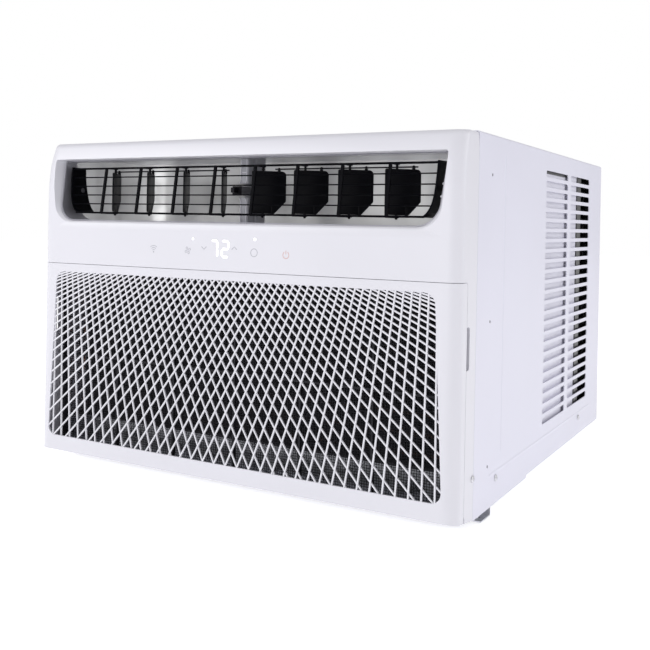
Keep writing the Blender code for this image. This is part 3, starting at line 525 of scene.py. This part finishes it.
def lattice_bars(sign, front):
    """One fan: each bar starts a pitch further in and leans a little more than the one before."""
    outline = intake_outline(1.2)
    section = ((-1.1, 0.5), (-0.85, 0.1), (-0.5, 0.0), (0.5, 0.0), (0.85, 0.1), (1.1, 0.5),
               (0.9, 2.5), (-0.9, 2.5))
    bars = []
    for k in range(-1, 54):             # enough to cross the whole opening
        lean = math.radians(FAN_LEAN + FAN_LEAN_STEP * k)
        x = sign * (FAN_X - FAN_PITCH * k - FAN_DRIFT * k * k)
        dx, dz = -sign * math.sin(lean), -math.cos(lean)
        span = crossing(outline, x, INTAKE_TOP, dx, dz)
        if span:
            bars.append([[(x + dx * t + dz * w, front + d, INTAKE_TOP + dz * t - dx * w)
                          for w, d in section] for t in span])
    return bars


def make_door():
    plan = front_section(0.0, FRONT_REACH, CORNER_RADIUS, DOOR_BACK)
    inner_plan = front_section(WALL, FRONT_REACH, CORNER_RADIUS, 10.0)
    door = prism_z("intake_door_panel", plan, 0.0, SEAM_Z)
    inner = prism_z("inner", inner_plan, 9.8 + WALL, SEAM_Z - WALL)
    cut(door, inner, underside_wedge(-80.0, 0.0), prism_y("opening", intake_outline(), -60, -50))
    cy, cz = DOOR_BACK - DOOR_CORNER, SEAM_Z - DOOR_CORNER
    corner = [(DOOR_BACK + 1, SEAM_Z + 1), (DOOR_BACK + 1, cz)] + [
        (cy + DOOR_CORNER * math.cos(a), cz + DOOR_CORNER * math.sin(a))
        for a in quarter(6)] + [(cy, SEAM_Z + 1)]
    for side in (-1, 1):
        cut(door, prism_x("corner", corner, *both(side, 330.0, 340.0)),
            box("slot", both(side, 296.0, 305.0), (-38.8, -20), (0, 20)))
        weld(door, spin("pin", [(1.8, side * 295.0), (1.8, side * 306.0)], (0, HINGE_Y, HINGE_Z),
                        (1, 0, 0), 16))
    dress(door, MAT["white_plastic"], "intake_door", ["intake_grille"], bevel=0.7)
    for name, sign, front in (("lattice_front", 1, -55.7), ("lattice_back", -1, -54.6)):
        dress(many(name, lattice_bars(sign, front)), MAT["lattice_white"], "intake_door",
              angle=50.0)


# ---------------------------------------------------------------- outlet: duct, louver frame, vanes
UP = Vector((0.0, 0.0, 1.0))
BACK = Vector((0.0, 1.0, 0.0))
FACE_Y = TILT_Y - 19.5
PIVOT_Y, PIVOT_Z = TILT_Y + 4.5, 397.5
BAR_TOP, BAR_LOW = TILT_Z + 29.2, TILT_Z - 37.5
# half thickness and half length of each bar, from the lowest up
BARS = ((1.4, 283.5), (0.85, 292.5), (0.85, 296.6), (0.85, 297.6), (0.85, 298.4), (1.45, 299.0))
# front end and heights of the two arms that carry a vane's pins
ARMS = ((-30.6, (431.0, 432.8)), (-40.2, (364.1, 365.9)))
PIN_EYE, LINK_EYE = (2.1, 3.6), (1.75, 3.0)
VANES, VANE_PITCH, VANE_FIRST, LINK_ARM = 4, 66.7, 33.1, 22.0
VANE_TURN = {-1: math.radians(-28.5), 1: math.radians(46.8)}
TIE_Z, TIE_HALF = (PIVOT_Z + 30.6, PIVOT_Z + 32.4), 1.3
HUB_Z = (393.2, 404.6)
# half width, height, front and rear edge of the end plates, from the top down
PLATE = ((299.6, 434.2, -35.5, -7.4), (299.3, 424.0, -36.9, -7.4), (298.6, 411.0, -38.3, -7.0),
         (297.4, 397.0, -39.6, -5.6), (295.4, 385.7, -40.6, -4.6), (292.2, 376.8, -41.3, -4.0),
         (287.6, 369.9, -42.0, -3.4), (281.0, 365.0, -42.6, -4.5))


def leaning(y, z):
    dy, dz = y - TILT_Y, z - TILT_Z
    return (TILT_Y + dy * math.cos(LEAN) + dz * math.sin(LEAN),
            TILT_Z - dy * math.sin(LEAN) + dz * math.cos(LEAN))


def lean_rings(section, x0, x1):
    ring = [leaning(y, z) for y, z in section]
    return [[(x, y, z) for y, z in ring] for x in (x0, x1)]


def vane_x(side, k):
    return side * (VANE_FIRST + VANE_PITCH * k)


def eye_rings(x, y, z, radii):
    """A flat eye round an upright pin."""
    (z0, z1), (bore, rim) = z, radii
    return spin_rings([(bore, z0), (rim, z0), (rim, z1), (bore, z1), (bore, z0)], (x, y, 0.0), UP, 18)


def oval(y, z, ry, rz, n=10):
    return [(y + ry * math.cos(2 * math.pi * k / n), z + rz * math.sin(2 * math.pi * k / n))
            for k in range(n)]


def make_louver_frame():
    bodies = []
    for k, (high, half) in enumerate(BARS):
        z = BAR_LOW + (BAR_TOP - BAR_LOW) * k / (len(BARS) - 1)
        bodies.append(lean_rings(oval(FACE_Y, z, 1.6, high), -half, half))
    for x in [vane_x(side, k) for side in (-1, 1) for k in range(VANES)]:
        bodies.append(lean_rings([(FACE_Y - 1.2, BAR_LOW), (FACE_Y + 1.9, BAR_LOW),
                                  (FACE_Y + 1.9, BAR_TOP), (FACE_Y - 1.2, BAR_TOP)],
                                 x - 1.9, x + 1.9))
        for front, z in ARMS:
            bodies.append(box_rings((x - 1.5, x + 1.5), (front, PIVOT_Y - 2.4), z))
            bodies.append(eye_rings(x, PIVOT_Y, z, PIN_EYE))
    for side in (-1, 1):
        rings = []
        for x, z, front, back in eased(PLATE, 3):
            ring = []
            for y, inset in ((front + 0.5, 0.0), (front, 0.6), (front, 1.5), (front + 0.5, 2.1),
                             (back - 0.5, 2.1), (back, 1.5), (back, 0.6), (back - 0.5, 0.0)):
                ring.append((side * (x - inset), y, z))
            rings.append(ring)
        bodies.append(rings)
        bodies.append(spin_rings([(2.5, 297.0), (2.5, 311.8)], (0, TILT_Y, TILT_Z),
                                 (side, 0, 0), 16))
    dress(many("louver_bars", bodies), MAT["louver_black"], "louver_frame",
          ["louver_frame"], angle=40.0, clean=False)
    dress(box("louver_hub", (-7.0, 7.0), (-24.5, -1.5), HUB_Z), MAT["hub"],
          "louver_frame", bevel=0.6)
    dress(many("louver_hub_cap", [box_rings((-7.0, 7.0), (-26.4, -24.6), HUB_Z),
                                  box_rings((-2.5, 2.5), (-36.5, -25.5), (395.5, 402.5))]),
          MAT["black_plastic"], "louver_frame", clean=False)
    rings = [spin_rings([(2.6, 0.0), (3.5, 0.0), (3.8, 0.4), (3.5, 0.8), (2.6, 0.8)],
                        (side * 295.8, TILT_Y, TILT_Z), (-side, 0, 0), 24) for side in (-1, 1)]
    dress(many("pivot_rings", rings), MAT["dark_grey_plastic"], "louver_frame",
          clean=False)


def vane_direction(turn):
    """The way from a vane's pivot to its rear edge, turned from straight back."""
    return (BACK * math.cos(turn) + Vector((1, 0, 0)) * math.sin(turn)).normalized()


def make_vane(name, x, turn):
    """Thin blade, a little thicker in the middle, with its pivot pins and the link pin on top."""
    centre = Vector((x, PIVOT_Y, PIVOT_Z))
    along = vane_direction(turn)
    across = UP.cross(along)
    low, high, front, back = -29.7, 28.5, -15.5, 32.0
    outline = rounded([(front, low, 3), (back - 16, low, 3), (back, low + 17, 3),
                       (back, high, 6), (front, high, 2)], 5)

    def at(a, b, s):
        return tuple(centre + along * a + UP * b + across * s)

    mid_a, mid_b = (front + back) / 2, (low + high) / 2
    rings = []
    for s, shrink in ((-0.95, 0.5), (-0.6, 0.0), (0.6, 0.0), (0.95, 0.5)):
        rings.append([at(a + (mid_a - a) * shrink / 24, b + (mid_b - b) * shrink / 29, s)
                      for a, b in outline])
    pin = centre + along * LINK_ARM
    foot = centre + along * (LINK_ARM - 9.0)
    bodies = [rings,
              spin_rings([(1.2, low - 5.6), (1.9, low - 4.6), (1.7, low - 3.6), (1.7, low + 3)],
                         centre, UP, 14),
              spin_rings([(1.7, high - 3), (1.7, high + 1.2), (2.6, high + 1.2), (2.6, high + 2.2),
                          (1.7, high + 2.2), (1.7, high + 7.6)], centre, UP, 14),
              spin_rings([(2.2, high - 2), (2.2, high + 1.6), (1.4, high + 1.9), (1.4, high + 4.6),
                          (0.9, high + 5.0)], pin, UP, 14),
              spin_rings([(1.3, low - 1.5), (1.6, low), (1.6, low + 10)], foot, UP, 12)]
    dress(many(name + "_blade", bodies), MAT["black_plastic"], name, [name],
          angle=45.0, clean=False)


def make_tie_bar(name, side, turn):
    """Thin strip that joins the four link pins, with an eye round each pin."""
    along = vane_direction(turn) * LINK_ARM
    z0, z1 = TIE_Z
    y = PIVOT_Y + along.y
    spots = sorted(vane_x(side, k) + along.x for k in range(VANES))
    section = [(y - TIE_HALF, z0), (y + TIE_HALF, z0), (y + TIE_HALF, z1), (y - TIE_HALF, z1)]
    stretches = [(p + 2.2, q - 2.2) for p, q in zip(spots, spots[1:])]
    stretches += [(spots[0] - 5.8, spots[0] - 2.4), (spots[-1] + 2.4, spots[-1] + 5.8)]
    bodies = [[[(x, a, b) for a, b in section] for x in span] for span in stretches]
    bodies += [eye_rings(x, y, TIE_Z, LINK_EYE) for x in spots]
    dress(many(name + "_strip", bodies), MAT["black_plastic"], name, [name],
          angle=45.0, clean=False)


DUCT_HALF, DUCT_FRONT, DUCT_DEPTH = 314.0, -14.7, 122.0
DUCT_FLOOR, DUCT_CEILING = 349.0, 448.5
SWEEP_R, TURN_R = 100.0, 12.0


def duct_plan(inset, front):
    """Plan of the duct: a wide sweep at the left, a tight turn at the right, open to the front."""
    sweep = [(-DUCT_HALF + SWEEP_R - (SWEEP_R - inset) * math.cos(a),
              DUCT_DEPTH - SWEEP_R + (SWEEP_R - inset) * math.sin(a)) for a in quarter(28)]
    turn = [(DUCT_HALF - TURN_R + (TURN_R - inset) * math.sin(a),
             DUCT_DEPTH - TURN_R + (TURN_R - inset) * math.cos(a)) for a in quarter(8)]
    return [(-DUCT_HALF + inset, front)] + sweep + turn + [(DUCT_HALF - inset, front)]


def make_duct():
    duct = prism_z("duct_shell", duct_plan(0.0, DUCT_FRONT), DUCT_FLOOR - 4.0, DUCT_CEILING + 3.5)
    cut(duct, prism_z("inner", duct_plan(1.2, DUCT_FRONT - 20.0), DUCT_FLOOR, DUCT_CEILING),
        box("throat", (-140, 140), (64, 116), (330, 352)))
    dress(duct, MAT["duct"], stands_for=["discharge_duct"], angle=40.0)
    dress(prism_z("duct_ceiling", duct_plan(1.4, DUCT_FRONT + 0.8), DUCT_CEILING - 0.8,
                  DUCT_CEILING - 0.1), MAT["duct_top"])
    rings = []
    for grow, push in ((-0.4, 1.4), (-1.4, 1.0), (-1.8, 1.4)):
        rings.append([(x, mouth_y(z) + push, z) for x, z in outlet_outline(grow)])
    rings += [[(x, -13.6, z) for x, z in outlet_outline(grow)] for grow in (-1.8, -0.4)]
    dress(loft("outlet_sleeve", rings, close=True), MAT["sleeve"], angle=40.0)
    nubs = [spin_rings([(1.7, 0.0), (1.7, 6.8), (1.02, 7.8)], (310.5, y, z), (-1, 0, 0), 16)
            for y, z in ((-31.5, 406.0), (-37.0, 390.5))]
    dress(many("detent_nubs", nubs), MAT["white_plastic"], clean=False)


def make_divider():
    """Post in two halves above and below the louver hub, with fine bent ridges on its face."""
    posts = []
    for z0, z1 in ((408.8, 448.2), (349.3, 389.4)):
        ring = rounded([(-7.2, -9.0, 2.2), (7.2, -9.0, 2.2), (7.2, 8.0, 0), (-7.2, 8.0, 0)], 5)
        posts.append([[(x, y, z) for x, y in ring] for z in (z0, z1)])
    posts.append(box_rings((-9.5, 9.5), (7.0, 30.0), (349.3, 448.2)))
    dress(many("divider_post", posts), MAT["divider"],
          stands_for=["centre_divider"], bevel=0.4)
    ridges = []
    for x0 in (-4.9, 4.6):
        for z0, z1 in ((409.4, 447.0), (350.5, 388.8)):
            rings = []
            for k in range(21):
                t = k / 20
                bend = max(0.0, abs(2 * t - 1) - 0.68) / 0.32
                x, z = x0 - 2.6 * bend * bend, z0 + (z1 - z0) * t
                rings.append([(x - 0.75, -8.8, z), (x - 0.45, -10.0, z), (x + 0.45, -10.0, z),
                              (x + 0.75, -8.8, z)])
            ridges.append(rings)
    for z in (424.5, 367.5):
        ridges.append(box_rings((-3.4, 3.6), (-9.7, -8.8), (z - 0.5, z + 0.5)))
    dress(many("divider_ridges", ridges), MAT["white_plastic"], angle=60.0,
          clean=False)


# ---------------------------------------------------------------- cabinet
def make_cabinet():
    r = 3.0

    def wrap(off, low):
        half, top = HALF_W - off, CASE_H - off
        rr = max(r - off, 0.8)
        out = [(-half, low)]
        out += [(-half + rr - rr * math.cos(a), top - rr + rr * math.sin(a)) for a in quarter(8)]
        return out + [(-x, z) for x, z in reversed(out)]
    shell = prism_y("cabinet_shell", wrap(0.0, 0.0), GAP, CASE_D)
    cut(shell, prism_y("inner", wrap(SHEET, -20.0), -20.0, CASE_D - SHEET),
        box("rear", (-HALF_W + 14, HALF_W - 14), (CASE_D - 20, CASE_D + 20), (-20, CASE_H - 14)),
        prism_x("step", [(205, -20), (700, -20), (700, 4), (222, 4)], -400, 400))
    openings = []
    for side in (-1, 1):
        for row in range(SLOT_ROWS):
            z = SLOT_TOP_Z - SLOT_PITCH * row
            for y0, y1 in SLOT_COLUMNS:
                half = SLOT_H / 2
                ring = rounded([(y0, z - half, SLOT_R), (y1, z - half, SLOT_R),
                                (y1, z + half, SLOT_R), (y0, z + half, SLOT_R)], 4)
                openings.append([[(x, y, zz) for y, zz in ring] for x in (side * 330, side * 342)])
        for z in HOLE_ZS:
            openings.append([[(x, y, zz) for y, zz in circle(HOLE_Y, z, HOLE_R, 16)]
                             for x in (side * 330, side * 342)])
    cut(shell, many("openings", openings))
    dress(shell, MAT["white_paint"], stands_for=["cabinet"], bevel=0.25)
    # black discs behind the screw holes: painted shade that makes the holes read dark
    hole_shades = [[[(side * x, y, zz) for y, zz in circle(HOLE_Y, z, r, 16)] for x in (x0, x1)]
             for side in (-1, 1) for z in HOLE_ZS
             for r, x0, x1 in ((6.0, 330.5, 334.4), (HOLE_R - 0.07, 334.4, 336.1))]
    dress(many("painted_hole_shade", hole_shades), MAT["black_steel"], clean=False)
    # black strips inside the side walls behind the slots: painted shade that makes parts of the slots
    # read dark
    shade_strips = [box_rings(both(side, 331.1, 332.6), y, z) for side in (-1, 1)
              for y, z in (((501.0, 526.0), (52.0, 463.0)), ((290.0, 430.0), (438.6, 463.0)))]
    dress(many("painted_shade_strips", shade_strips), MAT["black_steel"], clean=False)
    seals = [box_rings(both(side, 299.0, 334.6), (649.5, 655.5), (8.0, 469.8)) for side in (-1, 1)]
    seals.append(box_rings((-299.0, 299.0), (649.5, 655.5), (455.0, 469.8)))
    dress(many("condenser_seals", seals), MAT["black_steel"], clean=False)
    ridges = []
    for side in (-1, 1):
        for (y0, y1), (z0, z1) in (((101.0, 105.4), (62.0, 450.0)), ((58.0, 600.0), (39.0, 43.6))):
            rings = []
            for inset, rise in ((0.0, -0.3), (0.0, 0.0), (0.9, 0.28), (1.5, 0.42), (2.2, 0.45)):
                n = inset * 0.98
                rr = 2.15 - n * 0.95
                ring = rounded([(y0 + n, z0 + n, rr), (y1 - n, z0 + n, rr), (y1 - n, z1 - n, rr),
                                (y0 + n, z1 - n, rr)], 6)
                rings.append([(side * (HALF_W + rise), y, z) for y, z in ring])
            ridges.append(rings)
    dress(many("cabinet_ridges", ridges), MAT["white_paint"], angle=60.0,
          clean=False)


# ---------------------------------------------------------------- controls
# how far printed and lit marks stand out of the front's face, and how deep they sit in it
PRINT_RISE, LIT_RISE, SINK = 0.14, 0.16, 0.3


def stroke(path, width, closed=False):
    """A flat printed line on the front face, as a thin raised ribbon."""
    count = len(path)
    rings = []
    for k, (x, z) in enumerate(path):
        before = path[k - 1] if (k or closed) else path[k]
        after = path[(k + 1) % count] if (k < count - 1 or closed) else path[k]
        d = Vector((after[0] - before[0], after[1] - before[1])).normalized()
        nx, nz = -d.y * width / 2, d.x * width / 2
        out, deep = -FRONT_REACH - PRINT_RISE, -FRONT_REACH + SINK
        rings.append([(x + nx, out, z + nz), (x + nx, deep, z + nz), (x - nx, deep, z - nz),
                      (x - nx, out, z - nz)])
    return rings + [rings[0]] if closed else rings


def arc(cx, cz, r, a0, a1, n=12):
    """Points on a circle from angle a0 to a1, in degrees clockwise from the top."""
    return [(cx + r * math.sin(math.radians(a0 + (a1 - a0) * k / n)),
             cz + r * math.cos(math.radians(a0 + (a1 - a0) * k / n))) for k in range(n + 1)]


# ends of the seven segments, in steps of a digit's width and half its height
SEGMENTS = {"a": ((0, 2), (1, 2)), "b": ((1, 2), (1, 1)), "c": ((1, 1), (1, 0)),
            "d": ((0, 0), (1, 0)), "e": ((0, 1), (0, 0)), "f": ((0, 2), (0, 1)),
            "g": ((0, 1), (1, 1))}


def digit(x, z, wide, high, lit, width):
    """Seven-segment numeral from the lower left corner (x, z)."""
    out = []
    for key in lit:
        (ax, az), (bx, bz) = SEGMENTS[key]
        a = Vector((x + wide * ax, z + high * az / 2))
        b = Vector((x + wide * bx, z + high * bz / 2))
        d = (b - a).normalized()
        n = Vector((-d.y, d.x)) * width / 2
        a, b = a + d * 0.25, b - d * 0.25
        outline = [a, a + d * (width / 2) + n, b - d * (width / 2) + n, b,
                   b - d * (width / 2) - n, a + d * (width / 2) - n]
        out.append([[(p.x, y, p.y) for p in outline]
                    for y in (-FRONT_REACH - LIT_RISE, -FRONT_REACH + SINK)])
    return out


def make_controls():
    """Printed touch symbols, the two lit digits and two lit dots."""
    waves, fan, ring, switch = (-118.9, 311.8), (-58.6, 315.7), (50.4, 315.8), (99.6, 314.4)
    lines = []
    for cx, cz, up in ((-31.1, 319.8, -1), (18.9, 320.7, 1)):
        lines.append(stroke([(cx - 4.2, cz - 1.9 * up), (cx, cz + 1.9 * up), (cx + 4.2, cz - 1.9 * up)],
                            0.85))
    for r in (3.2, 6.0, 8.8):
        lines.append(stroke(arc(*waves, r, -40, 40), 0.8))
    lines.append(stroke(arc(*waves, 0.55, 0, 330, 11), 1.0, closed=True))
    for k in range(4):
        turn = math.radians(90 * k + 20)
        petal = [(1.1, 0.0), (2.6, 1.9), (4.6, 1.5), (5.0, -0.4), (3.6, -1.0)]
        lines.append(stroke([(fan[0] + a * math.cos(turn) - b * math.sin(turn),
                              fan[1] + a * math.sin(turn) + b * math.cos(turn)) for a, b in petal],
                            0.75, closed=True))
    lines.append(stroke(arc(*ring, 5.2, 0, 348, 29), 0.75, closed=True))
    dress(many("touch_symbols", lines), MAT["symbol"], clean=False)
    power = [stroke(arc(*switch, 4.5, 35, 325, 26), 0.9),
             stroke([(switch[0], switch[1] + 0.8), (switch[0], switch[1] + 5.8)], 0.9)]
    dress(many("power_symbol", power), MAT["power_symbol"], clean=False)
    lit = digit(-18.2, 308.6, 9.2, 21.2, "abc", 2.7) + digit(-1.2, 308.6, 10.2, 21.2, "abged", 2.7)
    for cx, cz, r in ((-50.1, 331.6, 1.5), (51.6, 333.2, 1.9)):
        lit.append([[(x, y, z) for x, z in circle(cx, cz, r, 20)]
                    for y in (-FRONT_REACH - LIT_RISE, -FRONT_REACH + SINK)])
    dress(many("lit_digits", lit), MAT["digit"], clean=False)


# ---------------------------------------------------------------- filter and coils
def make_filter():
    """Moulded frame with two rows of panes over a dense mesh of crossing threads."""
    low, high, wide, pitch = 13.3, 284.0, 322.0, 3.4
    bodies = []
    for x0, x1, z0, z1 in ((-wide, wide, low, low + 6), (-wide, wide, high - 6, high),
                           (-wide, -wide + 6, low, high), (wide - 6, wide, low, high),
                           (-wide, wide, 147.5, 150.5)):
        bodies.append(box_rings((x0, x1), (-25.0, -17.0), (z0, z1)))
    for k in range(1, 6):
        x = -316 + 105.6 * k - 1
        bodies.append(box_rings((x - 1.3, x + 1.3), (-24.0, -18.0), (low, high)))
    dress(many("filter_frame", bodies), MAT["filter_mesh"], "air_filter",
          ["air_filter"], clean=False)
    threads = []
    for k in range(int(2 * wide / pitch)):
        x = -wide + 2 + pitch * k
        threads.append([[(x + a, -21.0 + b, z) for a, b in ((-0.4, 0), (0, -0.4), (0.4, 0))]
                        for z in (low + 3, high - 3)])
    for k in range(int((high - low - 6) / pitch)):
        z = low + 5 + pitch * k
        threads.append([[(x, -20.6 + b, z + a) for a, b in ((-0.4, 0), (0, -0.4), (0.4, 0))]
                        for x in (-wide + 3, wide - 3)])
    dress(many("filter_threads", threads), MAT["filter_mesh"], "air_filter",
          clean=False)


TUBE_ROWS, TUBE_R, TUBE_PITCH, BEND_REACH = 2, 4.0, 25.4, 8.5
FIN_PITCH = 2.3


def return_bend(side, plate, y, z):
    """Half turn outside an end plate, from the tube at z to the next one up."""
    rings = []
    for j in range(9):
        a = math.pi * j / 8
        cx = side * (plate + 1 + math.sin(a) * BEND_REACH)
        cz = z + TUBE_PITCH / 2 * (1 - math.cos(a))
        way = Vector((side * math.cos(a) * BEND_REACH, 0, TUBE_PITCH / 2 * math.sin(a))).normalized()
        off = BACK.cross(way)
        rings.append([(cx + off.x * TUBE_R * math.cos(t), y + TUBE_R * math.sin(t),
                       cz + off.z * TUBE_R * math.cos(t))
                      for t in [2 * math.pi * i / 10 for i in range(10)]])
    return rings


def make_coil(name, wide, y, z, finish):
    """Fin pack on tubes between two end plates, with the return bends outside them."""
    (y0, y1), (z0, z1) = y, z
    plate = wide - 12.0
    fins = []
    for k in range(1, int(2 * plate / FIN_PITCH)):
        x = -plate + FIN_PITCH * k
        fins.append(box_rings((x - 0.16, x + 0.16), (y0 + 1.5, y1 - 1.5), (z0 + 3, z1 - 3)))
    ends = [box_rings(both(side, plate, plate + 1.2), (y0, y1), (z0, z1)) for side in (-1, 1)]
    dress(many(name + "_fins", fins), MAT["fins"], stands_for=[name + "_coil"],
          clean=False)
    dress(many(name + "_end_plates", ends), MAT["galvanised"], clean=False)
    tubes = []
    levels = int((z1 - z0 - 16) / TUBE_PITCH)
    for row in range(TUBE_ROWS):
        ty = y0 + (y1 - y0) * (row + 0.5) / TUBE_ROWS
        for k in range(levels):
            tz = z0 + 14 + TUBE_PITCH * k + (6.0 if row else 0.0)
            tubes.append(spin_rings([(TUBE_R, -plate - 2), (TUBE_R, plate + 2)], (0, ty, tz),
                                    (1, 0, 0), 10))
            if k < levels - 1:
                tubes.append(return_bend(1 if (k + row) % 2 else -1, plate, ty, tz))
    dress(many(name + "_tubes", tubes), MAT[finish], angle=60.0, clean=False)


# ---------------------------------------------------------------- screws
def make_screws():
    """Pan-head screws with a cross recess."""
    for side, word in SIDES:
        flank, out = side * (HALF_W + 0.1), (side, 0, 0)
        for place, at, way in (("seam", (flank, -3.6, 52.0), out), ("front", (flank, 83.0, 33.0), out),
                               ("rear", (flank, 518.0, 33.0), out),
                               ("rail", (side * RAIL_SCREW_X, 50.0, 2.0 - RAIL_DROP), UP)):
            centre, axis = Vector(at), Vector(way)
            name = "%s_screw_%s" % (place, word)
            head = spin(name + "_head", [(4.4, 0.0), (4.45, 0.5), (4.2, 1.0), (3.6, 1.6), (2.6, 2.1),
                                         (1.3, 2.4)], centre, axis, 32)
            across = axis.orthogonal().normalized()
            other = axis.cross(across)
            bars = []
            for a, b in ((across, other), (other, across)):
                lower = [centre + axis * 1.2 + a * p * 1.7 + b * q * 0.35
                         for p, q in ((-1, -1), (1, -1), (1, 1), (-1, 1))]
                upper = [centre + axis * 4.0 + a * p * 3.6 + b * q * 0.6
                         for p, q in ((-1, -1), (1, -1), (1, 1), (-1, 1))]
                bars.append([[tuple(v) for v in lower], [tuple(v) for v in upper]])
            for bar in bars:
                cut(head, loft("recess", bar))
            dress(head, MAT["steel"], stands_for=[name], bevel=0.1)


# ---------------------------------------------------------------- stage
def make_stage():
    """Pale floor, pale surroundings and three soft lights."""
    half = 12.0
    mesh = bpy.data.meshes.new("floor")
    mesh.from_pydata([(-half, -half, 0), (half, -half, 0), (half, half, 0), (-half, half, 0)], [],
                     [(0, 1, 2, 3)])
    floor = bpy.data.objects.new("floor", mesh)
    bpy.context.scene.collection.objects.link(floor)
    pale = material("pale_floor", (0.93, 0.93, 0.94), 0.9, bump=0.0, tone=0.004, spec=0.1)
    glow(pale, 0.50)
    floor.data.materials.append(pale)
    scene = bpy.context.scene
    scene.view_settings.view_transform = "Standard"
    world = bpy.data.worlds.new("studio")
    scene.world = world
    world.use_nodes = True
    nodes, links = world.node_tree.nodes, world.node_tree.links
    back = nodes["Background"]
    rays = nodes.new("ShaderNodeLightPath")
    level = nodes.new("ShaderNodeMapRange")
    level.inputs["To Min"].default_value = 0.55
    level.inputs["To Max"].default_value = 1.0
    links.new(rays.outputs["Is Camera Ray"], level.inputs["Value"])
    links.new(level.outputs["Result"], back.inputs["Strength"])
    back.inputs["Color"].default_value = WHITE + (1.0,)
    aim = Vector((0, 0, 0.25))
    for name, where, size, power in (("key", (-2.6, -2.9, 2.1), 2.0, 61.0),
                                     ("front", (0.1, -3.6, 0.55), 1.3, 12.0),
                                     ("fill", (3.2, 0.4, 1.9), 2.0, 33.0)):
        light = bpy.data.lights.new(name, "AREA")
        light.shape, light.size, light.energy = "SQUARE", size, power
        ob = bpy.data.objects.new(name, light)
        scene.collection.objects.link(ob)
        ob.location = where
        ob.rotation_euler = (aim - Vector(where)).to_track_quat("-Z", "Y").to_euler()


def make_camera():
    """Camera in front of the right corner, level, with a shift that moves the view down."""
    cam = bpy.data.cameras.new("camera")
    cam.sensor_width, cam.lens = 36.0, 49.13
    cam.shift_y = -0.154
    cam.clip_start, cam.clip_end = 0.01, 100.0
    ob = bpy.data.objects.new("camera", cam)
    bpy.context.scene.collection.objects.link(ob)
    yaw, pitch, roll = math.radians(29.4581), math.radians(0.0099), math.radians(1.1071)
    ahead = Vector((-math.sin(yaw) * math.cos(pitch), math.cos(yaw) * math.cos(pitch),
                    math.sin(pitch)))
    right = Vector((math.cos(yaw), math.sin(yaw), 0.0))
    up = right.cross(ahead)
    right, up = (right * math.cos(roll) + up * math.sin(roll),
                 up * math.cos(roll) - right * math.sin(roll))
    ob.matrix_world = Matrix.Translation((0.7017, -1.3256, 0.3669)) @ Matrix(
        (right, up, -ahead)).transposed().to_4x4()
    bpy.context.scene.camera = ob


make_front_panel()
make_door()
make_louver_frame()
for side, word in SIDES:
    for k in range(VANES):
        make_vane("vane_%s_%d" % (word, k + 1), vane_x(side, k), VANE_TURN[side])
    make_tie_bar("tie_bar_" + word, side, VANE_TURN[side])
make_duct()
make_divider()
make_cabinet()
make_controls()
make_filter()
make_coil("evaporator", 318.0, (8.0, 46.0), (52.0, 340.0), "copper")
# the condenser's tubes and bends are black: painted shade for the dark seen through the rear column of
# side slots
make_coil("condenser", 320.0, (602.0, 648.0), (6.4, 458.0), "black_steel")
make_screws()
make_stage()
make_camera()
